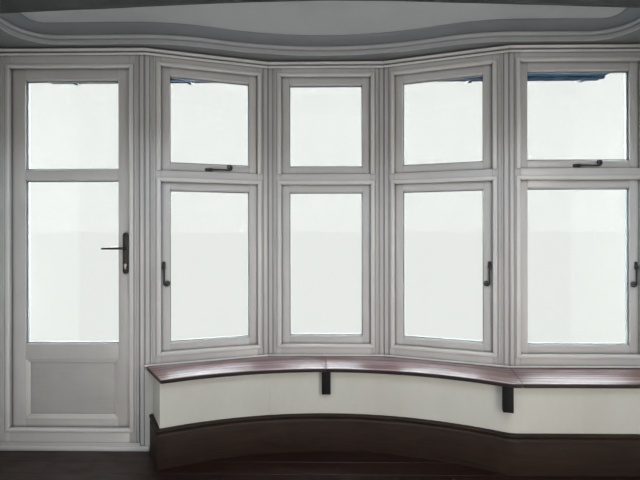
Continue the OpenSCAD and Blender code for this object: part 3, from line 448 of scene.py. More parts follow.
@dataclass(frozen=True)
class Timber(Finish):
    """Stained or polished timber with growth bands, fibres and open pores.

    The bow is the Y of its centre and its radius, for a board that is sawn to a curve as far as straight_from along
    X. The pale streak tone is partly polish paled by the sun and partly a painted sheen of the sky.
    """

    light: Colour = tint(66, 48, 38)
    dark: Colour = tint(28, 20, 17)
    lay: Grain = Grain.ALONG
    gloss: float = 0.42
    gloss_range: float = 0.2
    shine: float = 0.5
    # Pale streaks: partly sun-paled polish, partly painted sheen of the sky.
    bleached_and_sheen: Optional[Colour] = None
    pores: float = 0.00025
    bow: Optional[tuple[float, float]] = None
    straight_from: float = 10.0

    def along(self, web: SurfaceWeb) -> Optional[bpy.types.NodeSocket]:
        """Coordinates that follow the bow round its centre, with the straight length after it left as it is.

        Args:
            web: the material's nodes.
        Returns:
            The coordinates, or nothing for straight timber.
        """
        if self.bow is None:
            return None
        middle, radius = self.bow
        here = web.here()
        split = web.split(here)
        depth = web.minus(split[1], middle)
        turn = web.times(web.calc("ARCTAN2", split[0], depth), radius)
        reach = web.calc("SQRT", web.plus(web.times(split[0], split[0]), web.times(depth, depth)))
        bent = web.vector(turn, web.minus(reach, radius), split[2])
        past = web.above(split[0], self.straight_from)
        return web.out("ShaderNodeMix", {0: past, 4: bent, 5: here}, port=1, data_type="VECTOR")

    def draw(self, web: SurfaceWeb) -> None:
        """Draws the bands, fibres, pores and worn polish; where there are pale streaks, they are partly painted sheen,
        and the board gets painted shade where nearby faces close it in.

        Args:
            web: the material's nodes.
        """
        source = self.along(web)
        bands = web.grain(web.place(self.lay.at(60), source=source), 0.9, 5, 0.6, 1.4)
        fibres = web.grain(web.place(self.lay.at(420), source=source), 1.0, 4, 0.65, 0.3)
        pores = web.grain(web.place(self.lay.at(1300), source=source), 1.0, 2, 0.5)
        cloud = web.grain(web.place(source=source), 3.2, 5, 0.6)
        tone = web.weigh(bands, 0.6, fibres, 0.4)
        wood = web.blend(web.spread(tone, 0, 1, 0.36, 0.64), self.dark, self.light)
        open_pore = web.spread(pores, 1, 0, 0.3, 0.42)
        pored = web.blend(web.times(open_pore, 0.6), wood, self.dark)
        worn = web.blend(web.spread(cloud, 0, 0.28, 0.5, 0.75), pored, self.light)
        if self.bleached_and_sheen is not None:
            # Pale streaks, partly sun-paled polish and partly painted sheen; then painted shade where nearby faces
            # close the board in.
            streaks = web.grain(web.place(self.lay.at(34), (2, 5, 1), source), 1.0, 5, 0.6, 0.8)
            fading_and_sheen = web.times(web.spread(streaks, 0, 1, 0.42, 0.6), web.spread(cloud, 0.25, 0.9, 0.36, 0.64))
            worn = web.blend(web.painted_shade(0.022, 0.9), web.blend(fading_and_sheen, worn, self.bleached_and_sheen), self.dark)
        under = web.relief(fibres, self.pores)
        normal = web.relief(web.spread(pores, 0, 1, 0.3, 0.42), self.pores * 0.8, under, 0.8)
        polish = web.weigh(cloud, 0.5, tone, 0.5)
        rough = web.spread(polish, self.gloss, self.gloss + self.gloss_range, 0.36, 0.64)
        web.show(web.surface(Base_Color=worn, Roughness=rough, Normal=normal, IOR=1.5,
                             Specular_IOR_Level=self.shine))


@dataclass(frozen=True)
class Planks(Finish):
    """Dark polished floor boards. Each board takes its own tone from the row and length that it lies in.

    Boards are counted from shift rows and lengths before the origin, so that no count is negative.
    """

    width: float = 0.118
    length: float = 1.46
    stagger: float = 0.37
    shift: int = 10
    light: Colour = tint(48, 27, 21)
    dark: Colour = tint(20, 10, 8)

    def draw(self, web: SurfaceWeb) -> None:
        """Draws boards that each differ a little in tone, with worn polish and scuffs.

        Args:
            web: the material's nodes.
        """
        here = web.here()
        split = web.split(here)
        row = web.cell(web.plus(split[1], self.shift * self.width), self.width)
        start = web.times(web.calc("FRACT", web.times(row, self.stagger)), self.length)
        place = web.cell(web.plus(split[0], web.plus(start, self.shift * self.length)), self.length)
        board = web.out("ShaderNodeTexWhiteNoise", {"Vector": web.vector(row, place, 0.0)}, noise_dimensions="2D")
        offset = web.vector(web.times(board, 7.0), web.times(board, 3.0), split[2])
        moved = web.out("ShaderNodeVectorMath", {0: here, 1: offset}, operation="ADD")
        bands = web.grain(web.place(Grain.ALONG.at(55), source=moved), 1.0, 5, 0.6, 1.2)
        fibres = web.grain(web.place(Grain.ALONG.at(420), source=moved), 1.0, 4, 0.65)
        scuff = web.grain(web.place((3, 9, 1)), 2.0, 7, 0.66)
        tone = web.weigh(bands, 0.55, fibres, 0.45)
        wood = web.blend(web.spread(tone, 0, 1, 0.36, 0.66), self.dark, self.light)
        each = web.blend(web.spread(board, 0, 0.55, 0, 1), wood, self.dark)
        worn = web.blend(web.spread(scuff, 0, 0.3, 0.52, 0.78), each, self.light)
        normal = web.relief(fibres, 0.00022)
        web.show(web.surface(Base_Color=worn, Roughness=web.spread(scuff, 0.28, 0.58), Normal=normal, IOR=1.5))


@dataclass(frozen=True)
class ClayTile(Finish):
    """Weathered plain clay tiles. Each tile's tone is in the attribute shade."""

    def draw(self, web: SurfaceWeb) -> None:
        """Draws fired clay, dark patches and pale lichen.

        Args:
            web: the material's nodes.
        """
        shade = web.out("ShaderNodeAttribute", port="Fac", attribute_name="shade")
        sand = web.grain(web.place(), 520, 3, 0.6)
        fire = web.grain(web.place(), 22, 5, 0.6)
        moss = web.grain(web.place((1, 1, 1), (3, 7, 0)), 7, 8, 0.7)
        spots = web.out("ShaderNodeTexVoronoi", {"Vector": web.place(), "Scale": 34.0}, feature="F1")
        base = web.blend(shade, tint(96, 54, 40), tint(146, 86, 60))
        fired = web.blend(web.spread(fire, 0, 0.6), base, tint(70, 44, 38))
        grey = web.blend(web.spread(moss, 0, 0.55, 0.5, 0.72), fired, tint(84, 82, 62))
        lichen = web.times(web.spread(spots, 0.7, 0, 0.08, 0.2), web.spread(moss, 0, 1, 0.45, 0.6))
        colour = web.blend(lichen, grey, tint(158, 154, 128))
        under = web.relief(fire, 0.0011)
        normal = web.relief(sand, 0.0004, under, 0.7)
        web.show(web.surface(Base_Color=colour, Roughness=web.spread(sand, 0.8, 0.94), Normal=normal))


@dataclass(frozen=True)
class Metal(Finish):
    """Metal or painted metal with small dents, and wear that shows the tone under it."""

    tone: Colour = tint(24, 24, 27)
    worn: Colour = tint(58, 56, 54)
    gloss: float = 0.36
    bare: float = 0.0
    dents: float = 0.0004

    def draw(self, web: SurfaceWeb) -> None:
        """Draws dents, fine scratches and rubbed places.

        Args:
            web: the material's nodes.
        """
        dents = web.grain(web.place(), 95, 3, 0.5)
        scratch = web.grain(web.place((1, 1, 0.12), (1, 4, 2)), 800, 2, 0.6)
        rub = web.grain(web.place(), 38, 5, 0.65)
        colour = web.blend(web.spread(rub, 0, 0.7, 0.52, 0.72), self.tone, self.worn)
        under = web.relief(dents, self.dents)
        normal = web.relief(scratch, 0.00004, under, 0.6)
        rough = web.spread(rub, self.gloss, self.gloss + 0.2)
        web.show(web.surface(Base_Color=colour, Metallic=self.bare, Roughness=rough, Normal=normal))


@dataclass(frozen=True)
class Glazing(Finish):
    """Clear window glass that lets lamps through, with a faint wave and a little dust."""

    def draw(self, web: SurfaceWeb) -> None:
        """Draws the glass, with rays from the lamps let straight through.

        Args:
            web: the material's nodes.
        """
        wave = web.grain(web.place(), 1.6, 2, 0.4)
        dust = web.grain(web.place(), 5, 6, 0.6)
        shine = web.surface(Base_Color=(0.955, 0.975, 0.965, 1.0), Roughness=web.spread(dust, 0.0, 0.012, 0.5, 0.8),
                            IOR=1.45, Transmission_Weight=1.0, Normal=web.relief(wave, 0.0004, strength=0.4))
        clear = web.out("ShaderNodeBsdfTransparent", {"Color": (0.95, 0.97, 0.96, 1.0)})
        lamp = web.out("ShaderNodeLightPath", port="Is Shadow Ray")
        web.show(web.choose(lamp, shine, clear))


@dataclass(frozen=True)
class Concrete(Finish):
    """Cast concrete, for the slab under the boards."""

    def draw(self, web: SurfaceWeb) -> None:
        """Draws sand, small blow holes and damp patches.

        Args:
            web: the material's nodes.
        """
        sand = web.grain(web.place(), 380, 4, 0.65)
        cloud = web.grain(web.place(), 6, 6, 0.6)
        holes = web.out("ShaderNodeTexVoronoi", {"Vector": web.place(), "Scale": 62.0}, feature="F1")
        pit = web.spread(holes, 1, 0, 0.06, 0.12)
        base = web.blend(web.spread(cloud, 0, 1), tint(150, 146, 138), tint(124, 121, 115))
        colour = web.blend(web.times(pit, 0.6), base, tint(84, 82, 78))
        under = web.relief(web.spread(holes, 0, 1, 0.06, 0.12), 0.0015)
        web.show(web.surface(Base_Color=colour, Roughness=web.spread(sand, 0.82, 0.95),
                             Normal=web.relief(sand, 0.0005, under, 0.8)))


@dataclass(frozen=True)
class SawnBoards(Finish):
    """Sawn boards side by side, for the roof deck's open edges and underside.

    The boards are counted from shift metres before the origin, so that no count is negative.
    """

    width: float = 0.15
    shift: float = 20.0

    def draw(self, web: SurfaceWeb) -> None:
        """Draws board joints, saw marks and grain.

        Args:
            web: the material's nodes.
        """
        count = web.calc("DIVIDE", web.plus(web.split(web.here())[1], self.shift), self.width)
        gap = web.calc("LESS_THAN", web.calc("FRACT", count), 0.025)
        board = web.out("ShaderNodeTexWhiteNoise", {"W": web.calc("FLOOR", count)}, noise_dimensions="1D")
        fibres = web.grain(web.place(Grain.ALONG.at(300)), 1.0, 4, 0.65)
        saw = web.grain(web.place((260, 6, 6)), 1.0, 2, 0.5)
        wood = web.blend(web.spread(fibres, 0, 1), tint(112, 92, 70), tint(146, 124, 96))
        each = web.blend(web.times(board, 0.45), wood, tint(92, 78, 64))
        colour = web.blend(gap, each, tint(30, 25, 20))
        under = web.relief(web.minus(1.0, gap), 0.003)
        web.show(web.surface(Base_Color=colour, Roughness=web.spread(fibres, 0.7, 0.9),
                             Normal=web.relief(web.plus(fibres, saw), 0.0006, under, 0.8)))


PAINT_UPRIGHT = Paint("paint_upright")
PAINT_LEVEL = Paint("paint_level", lay=Grain.ACROSS)
# Quirks up the corner posts, each a bump with painted shade at its bottom.
PAINT_POST = Paint("post_paint", grooves=tuple(
    (corner + off, half) for corner in (0.985, 0.340) for off, half in ((0, 0.006), (-0.027, 0.0035), (0.027, 0.0035))))
PAINT_DOOR_UPRIGHT = Paint("door_paint_upright", tone=tint(170, 168, 167), soiled=tint(146, 144, 142))
PAINT_DOOR_LEVEL = replace(PAINT_DOOR_UPRIGHT, name="door_paint_level", lay=Grain.ACROSS)
# A lighter copy of the door paint: painted highlight on the door's beads.
PAINT_DOOR_BEAD_LIT = Paint("door_bead_paint", tone=tint(182, 180, 178), soiled=tint(160, 158, 155), lay=Grain.ACROSS)
# A lighter copy of the frame paint: painted highlight on the frame's beads.
PAINT_BEAD_LIT = Paint("bead_paint", tone=tint(188, 187, 186), soiled=tint(166, 164, 162), shade_reach=0.012)
# A lighter copy of the frame paint, with less painted shade: painted light on the head mouldings.
PAINT_HEAD_LIT = Paint("head_paint", tone=tint(204, 204, 204), soiled=tint(182, 181, 180), lay=Grain.ACROSS,
                   shade_reach=0.007)
# A darker copy of the door paint: painted shade on the door's panel.
PAINT_PANEL_SHADED = Paint("panel_paint", tone=tint(160, 158, 157), soiled=tint(138, 136, 134), lay=Grain.ACROSS)
# A darker, cooler copy of the frame paint: painted shade on the cornice batten and wall plate.
PAINT_CORNICE_SHADED = Paint("cornice_paint", tone=tint(160, 161, 164), soiled=tint(138, 138, 140), lay=Grain.ACROSS,
                      gloss=0.28)
# A dark copy of the frame paint: painted shade on the board under the cornice.
PAINT_SOFFIT_SHADED = Paint("soffit_paint", tone=tint(118, 119, 121), soiled=tint(96, 96, 97), lay=Grain.ACROSS, gloss=0.45)
EAVE_PAINT = Paint("eave_paint", tone=tint(46, 78, 106), soiled=tint(34, 56, 76), shade_tone=tint(20, 30, 40),
                   lay=Grain.ALONG, gloss=0.42)
WALL_PLASTER = Plaster("wall_plaster")
CEILING_PLASTER = Plaster("ceiling_plaster", tone=tint(166, 167, 166), stain=tint(146, 145, 142), wave=0.003)
# Darker than the ceiling plaster: painted shade in the cove.
COVE_PLASTER_SHADED = Plaster("cove_plaster", tone=tint(116, 118, 122), stain=tint(102, 103, 106), wave=0.0015)
OUTER_RENDER = Plaster("outer_render", tone=tint(186, 182, 172), stain=tint(150, 144, 132), wave=0.003)
BEAM_OAK = Timber("beam_oak", light=tint(36, 30, 28), dark=tint(16, 13, 12), gloss=0.55, shine=0.25, pores=0.0008)
BRACKET_OAK = Timber("bracket_oak", light=tint(20, 18, 23), dark=tint(10, 9, 12), lay=Grain.UPRIGHT, gloss=0.5,
                     shine=0.25)
SKIRTING_OAK = Timber("skirting_oak", light=tint(48, 35, 28), dark=tint(22, 16, 14), lay=Grain.ACROSS, gloss=0.46,
                      shine=0.25)
# A darker copy of the board's timber, for its faces that don't face up: painted shade on the nosing and underside.
BOARD_EDGE_SHADED = Timber("board_edge", light=tint(34, 22, 25), dark=tint(18, 12, 16), gloss=0.42, pores=0.00012,
                    bow=(-1.826, 1.8), straight_from=0.93)
# Its pale streak tone is partly sun-paled polish and partly painted sheen of the sky.
BOARD_POLISH = replace(BOARD_EDGE_SHADED, name="board_polish", light=tint(106, 54, 42), dark=tint(44, 20, 16), gloss=0.3,
                       gloss_range=0.32, shine=0.8, bleached_and_sheen=tint(184, 168, 174))
FLOOR_POLISH = Planks("floor_polish")
ROOF_CLAY = ClayTile("roof_clay")
BLACK_IRON = Metal("black_iron")
LOCK_STEEL = Metal("lock_steel", tone=tint(176, 172, 166), worn=tint(206, 204, 200), gloss=0.26, bare=1.0, dents=0.0001)
HINGE_STEEL = Metal("hinge_steel", tone=tint(120, 112, 100), worn=tint(160, 150, 134), gloss=0.34, bare=1.0,
                    dents=0.0001)
GUTTER_COAT = Metal("gutter_coat", tone=tint(28, 34, 42), worn=tint(44, 50, 58), gloss=0.6, dents=0.0003)
SPACER_BAR = Paint("spacer_bar", tone=tint(172, 172, 170), soiled=tint(150, 150, 148), lay=Grain.ALONG, gloss=0.5)
CLEAR_GLASS = Glazing("clear_glass")
SLAB_CONCRETE = Concrete("slab_concrete")
DECK_BOARDS = SawnBoards("deck_boards")


# Plan of the bay


@dataclass(frozen=True)
class Plan:
    """The five facets of the frame, from the door on the left to the end window on the right."""

    centre_half: float = 0.340
    front_half: float = 0.985
    cant: float = math.radians(18.5)
    left: tuple[float, ...] = (0.063, 0.084, 0.077, 0.062, 0.059)
    right: tuple[float, ...] = (0.082, 0.062, 0.077, 0.084, 0.058)
    door_opening: float = 0.658
    end_opening: float = 0.640
    floor: float = 0.120
    stop: float = 0.018
    leaf: float = 0.044

    def corner(self, facet: int) -> Vector:
        """The left end of a facet's room side, in plan.

        Args:
            facet: the facet's number, counted from the door.
        Returns:
            The point, in metres.
        """
        bow = (self.front_half - self.centre_half) * math.tan(self.cant)
        door = self.left[0] + self.door_opening + self.right[0]
        return Vector([(-self.front_half - door, 0), (-self.front_half, 0), (-self.centre_half, bow),
                       (self.centre_half, bow), (self.front_half, 0)][facet])

    def turn(self, facet: int) -> float:
        """A facet's angle to the X axis."""
        return (0.0, self.cant, 0.0, -self.cant, 0.0)[facet]

    def length(self, facet: int) -> float:
        """A facet's length along its room side.

        Args:
            facet: the facet's number, counted from the door.
        Returns:
            The length, in metres.
        """
        canted = (self.front_half - self.centre_half) / math.cos(self.cant)
        door = self.left[0] + self.door_opening + self.right[0]
        end = self.left[4] + self.end_opening + self.right[4]
        return (door, canted, 2 * self.centre_half, canted, end)[facet]

    def opening(self, facet: int) -> tuple[float, float]:
        """Where a facet's opening starts and ends along it."""
        return self.left[facet], self.length(facet) - self.right[facet]

    def matrix(self, facet: int) -> Matrix:
        """The matrix that puts a point of a facet, along it, in depth and up, in the bay."""
        spot = self.corner(facet)
        return Matrix.Translation((spot.x, spot.y, 0)) @ Matrix.Rotation(self.turn(facet), 4, "Z")


PLAN = Plan()
DOOR = 0
WINDOWS = (1, 2, 3, 4)


# Making and handing over pieces


def link(name: str, data: bpy.types.ID) -> bpy.types.Object:
    """Puts a mesh, a lamp or a camera into the scene as a new object at the origin.

    Args:
        name: the new object's name.
        data: the mesh, the lamp or the camera.
    Returns:
        The object.
    """
    made = bpy.data.objects.new(name, data)
    bpy.context.scene.collection.objects.link(made)
    return made


def shown_as(name: str, shape: bmesh.types.BMesh) -> bpy.types.Object:
    """Turns a mesh under construction into an object at the origin, and frees it.

    Args:
        name: the new object's name.
        shape: the mesh, which is used up.
    Returns:
        The object.
    """
    mesh = bpy.data.meshes.new(name)
    shape.to_mesh(mesh)
    shape.free()
    return link(name, mesh)


def bake(made: bpy.types.Object) -> bpy.types.Object:
    """Turns an object with its modifiers into a plain mesh of the same name.

    Args:
        made: the object with live modifiers.
    Returns:
        The plain object that takes its place.
    """
    bpy.context.view_layer.update()
    name = made.name
    shape = made.evaluated_get(bpy.context.evaluated_depsgraph_get())
    mesh = bpy.data.meshes.new_from_object(shape)
    made.modifiers.clear()
    bpy.data.objects.remove(made)
    mesh.name = name
    return link(name, mesh)


def hand_over(piece: bpy.types.Object, body: str, finish: Optional[Finish] = None,
              stands_for: Iterable[str] = ()) -> bpy.types.Object:
    """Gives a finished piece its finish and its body.

    Args:
        piece: the piece, at the origin.
        body: the body it rides on.
        finish: the finish for the whole piece, or nothing if its mesh has one.
        stands_for: the CAD nodes that it hides.
    Returns:
        The piece.
    """
    if finish is not None:
        piece.data.materials.clear()
        piece.data.materials.append(finish.material())
    nodes = tuple(stands_for)
    if nodes:
        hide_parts(*nodes)
    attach(piece, body)
    log.info("%s rides on %s with %d faces", piece.name, body, len(piece.data.polygons))
    return piece


def dress(node: str, finish: Finish) -> None:
    """Gives a CAD node, whose own mesh shows, a finish.

    Args:
        node: the CAD node.
        finish: the finish that it gets.
    """
    shown = frame["nodes"][node]
    shown.data.materials.clear()
    shown.data.materials.append(finish.material())
    log.info("%s keeps its own shape, finish %s", node, finish.name)


WELD = 2e-5
FLAT = math.radians(0.4)


def solid_of(node: str) -> bmesh.types.BMesh:
    """A node's mesh with its loose triangles joined and its flat faces whole.

    Args:
        node: the CAD node.
    Returns:
        The mesh, which the caller frees.
    """
    shape = bmesh.new()
    shape.from_mesh(frame["nodes"][node].data)
    bmesh.ops.remove_doubles(shape, verts=shape.verts, dist=WELD)
    bmesh.ops.dissolve_limit(shape, angle_limit=FLAT, verts=shape.verts, edges=shape.edges)
    return shape


def eased(node: str, ease: float, finish: Finish, steps: int = 2, angle: float = 28) -> bpy.types.Object:
    """A copy of a CAD node with its sharp edges rounded over, as sanded and painted timber has.

    Args:
        node: the CAD node that the copy stands for.
        ease: the width of the rounding.
        finish: the copy's finish.
        steps: how many faces make the rounding.
        angle: edges that turn by more than this many degrees are rounded.
    Returns:
        The copy.
    """
    piece = shown_as(node + "_eased", solid_of(node))
    rounding = piece.modifiers.new("rounding", "BEVEL")
    rounding.width = ease
    rounding.segments = steps
    rounding.limit_method = "ANGLE"
    rounding.angle_limit = math.radians(angle)
    rounding.harden_normals = True
    piece.data.shade_smooth()
    piece = bake(piece)
    return hand_over(piece, frame["nodes"][node]["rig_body"], finish, [node])


class Grower:
    """A geometry tree with named inputs, which grows a plain mesh from an object."""

    def __init__(self, name: str, sizes: dict[str, tuple[str, Any]]) -> None:
        """Makes the tree with its inputs.

        Args:
            name: the tree's name.
            sizes: for each named input its socket type and its value.
        """
        self.tree = bpy.data.node_groups.new(name, "GeometryNodeTree")
        self.tree.is_modifier = True
        self.web = Web(self.tree)
        self.tree.interface.new_socket("Geometry", in_out="INPUT", socket_type="NodeSocketGeometry")
        self.tree.interface.new_socket("Geometry", in_out="OUTPUT", socket_type="NodeSocketGeometry")
        self.keys: dict[str, str] = {}
        self.values: dict[str, Any] = {}
        for label, (kind, value) in sizes.items():
            self.keys[label] = self.tree.interface.new_socket(label, in_out="INPUT", socket_type=kind).identifier
            self.values[label] = value
        self.source = self.web.make("NodeGroupInput")

    def given(self, label: str) -> bpy.types.NodeSocket:
        """A named input's socket inside the tree."""
        return self.source.outputs[label]

    def end(self, geometry: bpy.types.NodeSocket, finish: Finish) -> None:
        """Closes the tree with real geometry in one material.

        Args:
            geometry: what the tree has made.
            finish: the finish of all of it.
        """
        real = self.web.out("GeometryNodeRealizeInstances", {0: geometry})
        coated = self.web.out("GeometryNodeSetMaterial", {"Geometry": real, "Material": finish.material()})
        self.web.make("NodeGroupOutput", None, {0: coated})

    def grow(self, seed_object: bpy.types.Object) -> bpy.types.Object:
        """Runs the tree on an object and returns the plain mesh that it grows.

        Args:
            seed_object: the object whose mesh goes in; it is used up.
        Returns:
            The grown object.
        """
        modifier = seed_object.modifiers.new(self.tree.name, "NODES")
        modifier.node_group = self.tree
        for label, value in self.values.items():
            modifier[self.keys[label]] = value
        return bake(seed_object)


def soft_edges(piece: bpy.types.Object, angle: float = 40) -> bpy.types.Object:
    """Shades a piece smooth where it turns by less than an angle in degrees.

    Args:
        piece: the piece to shade.
        angle: the turn from which an edge stays sharp.
    Returns:
        The same piece.
    """
    mesh = piece.data
    mesh.shade_smooth()
    mesh.set_sharp_from_angle(angle=math.radians(angle))
    return piece


def line_mesh(name: str, points: Sequence[Vector], closed: bool) -> bpy.types.Object:
    """A line of edges through points, as the path or the profile of a moulding.

    Args:
        name: the new object's name.
        points: the points in order.
        closed: whether the last point is joined to the first.
    Returns:
        The line.
    """
    mesh = bpy.data.meshes.new(name)
    edges = [(k, k + 1) for k in range(len(points) - 1)] + ([(len(points) - 1, 0)] if closed else [])
    mesh.from_pydata(points, edges, [])
    return link(name, mesh)


def sweep(name: str, profile: Sequence[tuple[float, float]], line: Sequence[Vector], finish: Finish, node: str,
          stands_for: Iterable[str] = ()) -> bpy.types.Object:
    """Grows one moulding of the bay along a level line.

    Args:
        name: the new object's name.
        profile: its outline, as distances towards the room and heights over the line.
        line: the points of the line, from left to right.
        finish: the moulding's finish.
        node: a CAD node; not used.
        stands_for: the CAD nodes that it hides.
    Returns:
        The moulding.
    """
    outline = line_mesh(name + "_profile", [Vector((out, -up, 0)) for out, up in profile], True)
    grower = Grower("sweep_" + name, {"Profile": ("NodeSocketObject", outline)})
    web = grower.web
    path = web.out("GeometryNodeMeshToCurve", {"Mesh": grower.given("Geometry")})
    level_path = web.out("GeometryNodeSetCurveNormal", {"Curve": path}, mode="Z_UP")
    shape = web.out("GeometryNodeObjectInfo", {"Object": grower.given("Profile")}, port="Geometry")
    ring = web.out("GeometryNodeMeshToCurve", {"Mesh": shape})
    grower.end(web.out("GeometryNodeCurveToMesh", {"Curve": level_path, "Profile Curve": ring, "Fill Caps": True}),
               finish)
    piece = soft_edges(grower.grow(line_mesh(name, line, False)))
    bpy.data.objects.remove(outline)
    weights = piece.modifiers.new("weights", "WEIGHTED_NORMAL")
    weights.keep_sharp = True
    return hand_over(bake(piece), "bay", finish, stands_for)


def box_mesh(shape: bmesh.types.BMesh, low: Sequence[float], high: Sequence[float],
             place: Matrix = Matrix.Identity(4)) -> None:
    """Adds a box to a mesh.

    Args:
        shape: the mesh to add to.
        low, high: the box's lowest and highest corners.
        place: the matrix that moves it.
    """
    size = [high[k] - low[k] for k in range(3)]
    middle = [(high[k] + low[k]) / 2 for k in range(3)]
    bmesh.ops.create_cube(shape, size=1.0, matrix=place @ Matrix.Translation(middle) @ Matrix.Diagonal((*size, 1)))


# Walls, floor and ceiling


@dataclass
class Shell:
    """The walls, floor, beam and ceiling that the window stands in."""

    beam_stations: int = 150
    beam_ease: float = 0.010
    hewn: float = 0.0022
    strokes: tuple[tuple[float, float], ...] = ((5, 14), (17, 30))
    camber: float = 0.056
    beam_round: float = 12.0
    bearing: float = 0.120
    board_gap: float = 0.0012
    rows: int = 8
    in_row: int = 8

    def build(self) -> None:
        """Makes the floor boards and the beam, and dresses the masonry."""
        for node in ("dwarf_wall_left", "dwarf_wall_centre", "dwarf_wall_right", "dwarf_wall_end", "side_wall_left",
                     "side_wall_right", "wall_over_beam"):
            dress(node, WALL_PLASTER)
        dress("bay_ceiling", CEILING_PLASTER)
        # The wall plate and the cornice board take darker paints: painted shade.
        dress("wall_plate", PAINT_CORNICE_SHADED)
        dress("floor_slab", SLAB_CONCRETE)
        eased("cornice_board", 0.001, PAINT_SOFFIT_SHADED)
        self.floor()
        self.beam()

    def floor(self) -> bpy.types.Object:
        """Boards cut to the floor's outline, laid along the bay with staggered ends.

        Returns:
            The floor boards.
        """
        sizes = {"Board width": FLOOR_POLISH.width, "Board length": FLOOR_POLISH.length,
                 "Stagger": FLOOR_POLISH.stagger, "Gap": self.board_gap, "Height": PLAN.floor, "Thickness": 0.02}
        grower = Grower("lay_floor_boards", {name: ("NodeSocketFloat", size) for name, size in sizes.items()})
        web = grower.web
        width, length, gap = (grower.given(name) for name in ("Board width", "Board length", "Gap"))
        points = web.out("GeometryNodePoints", {"Count": self.rows * self.in_row})
        index = web.out("GeometryNodeInputIndex")
        row = web.cell(index, float(self.in_row))
        column = web.minus(index, web.times(row, float(self.in_row)))
        band = web.minus(row, self.rows - 1.0)
        start = web.times(web.calc("FRACT", web.times(web.plus(band, float(FLOOR_POLISH.shift)),
                                                      grower.given("Stagger"))), length)
        x = web.minus(web.times(web.minus(column, (self.in_row - 1) / 2), length), start)
        y = web.times(web.plus(band, 0.5), width)
        z = web.minus(grower.given("Height"), web.calc("DIVIDE", grower.given("Thickness"), 2.0))
        spots = web.out("GeometryNodeSetPosition", {"Geometry": points, "Position": web.vector(x, y, z)})
        size = web.vector(web.minus(length, gap), web.minus(width, gap), web.times(grower.given("Thickness"), 1.2))
        board = web.out("GeometryNodeMeshCube", {"Size": size})
        boards = web.out("GeometryNodeInstanceOnPoints", {"Points": spots, "Instance": board})
        real = web.out("GeometryNodeRealizeInstances", {0: boards})
        cut = web.make("GeometryNodeMeshBoolean", {"operation": "INTERSECT", "solver": "EXACT"})
        web.feed(cut.inputs["Mesh 2"], grower.given("Geometry"))
        web.feed(cut.inputs["Mesh 2"], real)
        grower.end(cut.outputs[0], FLOOR_POLISH)
        planks = grower.grow(shown_as("floor_planks", solid_of("floor_boards")))
        arris = planks.modifiers.new("arris", "BEVEL")
        arris.width, arris.segments, arris.limit_method = self.board_gap, 1, "ANGLE"
        return hand_over(bake(planks), "bay", FLOOR_POLISH, ["floor_boards"])

    def beam(self) -> bpy.types.Object:
        """The beam, drawn as hewn oak: uneven faces, worn edges and a cambered underside.

        Returns:
            The beam.
        """
        low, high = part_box("oak_beam")
        half = (high.x - low.x) / 2 - self.bearing
        middle = (low.x + high.x) / 2
        shape = bmesh.new()
        rings = []
        for step in range(self.beam_stations + 1):
            x = low.x + (high.x - low.x) * step / self.beam_stations
            rings.append(self.section(shape, x, low, high, self.rise(abs(x - middle), half)))
        for first, second in zip(rings, rings[1:]):
            for k, corner in enumerate(first):
                after = (k + 1) % len(first)
                shape.faces.new((corner, first[after], second[after], second[k]))
        shape.faces.new(rings[0])
        shape.faces.new(list(reversed(rings[-1])))
        bmesh.ops.recalc_face_normals(shape, faces=shape.faces)
        piece = soft_edges(shown_as("oak_beam_hewn", shape), 50)
        return hand_over(piece, "bay", BEAM_OAK, ["oak_beam"])

    def rise(self, reach: float, half: float) -> float:
        """How far the beam's underside is raised: two straight slopes with a long arc between them.

        Args:
            reach: distance from the beam's middle.
            half: half the width between the side walls.
        Returns:
            The rise at that distance.
        """
        drop = self.beam_round - self.camber
        slope = math.asin(self.beam_round / math.hypot(half, drop)) - math.atan2(drop, half)
        if reach > self.beam_round * math.sin(slope):
            return max((half - reach) * math.tan(slope), 0.0)
        return math.sqrt(self.beam_round ** 2 - reach ** 2) - drop

    def section(self, shape: bmesh.types.BMesh, x: float, low: Vector, high: Vector,
                rise: float) -> list[bmesh.types.BMVert]:
        """One section of the beam, with points along each side and a worn edge at each corner.

        Args:
            shape: the mesh to add to.
            x: where the section stands.
            low, high: the beam's box.
            rise: how far the underside is raised here.
        Returns:
            The section's points in order.
        """
        bottom, ease = low.z + rise, self.beam_ease
        corners = [(low.y, bottom), (high.y, bottom), (high.y, high.z), (low.y, high.z)]
        ring = []
        for k, (y, z) in enumerate(corners):
            after = corners[(k + 1) % 4]
            side = Vector((after[0] - y, after[1] - z))
            along = side.normalized()
            outward = Vector((along.y, -along.x))
            for part in range(7):
                share = ease + (side.length - 2 * ease) * part / 6
                spot = Vector((y, z)) + along * share
                broad, fine = self.strokes
                wobble = noise.noise(Vector((x * broad[0], spot.x * broad[1] + k, spot.y * broad[1])))
                wobble += 0.5 * noise.noise(Vector((x * fine[0], spot.x * fine[1], spot.y * fine[1] + k)))
                spot -= outward * self.hewn * (0.5 + 0.5 * wobble)
                ring.append(shape.verts.new((x, spot.x, spot.y)))
        return ring


# Cornice


def rounded(points: Sequence[tuple[float, float]], ease: float, steps: int = 3) -> list[tuple[float, float]]:
    """A closed outline with its sharp corners rounded over.

    Args:
        points: the outline's corners in order.
        ease: how far from a corner its rounding starts.
        steps: how many sides make the rounding.
    Returns:
        The rounded outline.
    """
    made = []
    for before, corner, after in zip(points[-1:] + points[:-1], points, points[1:] + points[:1]):
        middle = Vector(corner)
        back, on = Vector(before) - middle, Vector(after) - middle
        if back.angle(-on) < math.radians(14):
            made.append(tuple(middle))
            continue
        start = middle + back.normalized() * min(ease, back.length * 0.45)
        end = middle + on.normalized() * min(ease, on.length * 0.45)
        for k in range(steps + 1):
            share = k / steps
            made.append(tuple(start * (1 - share) ** 2 + middle * 2 * share * (1 - share) + end * share ** 2))
    return made


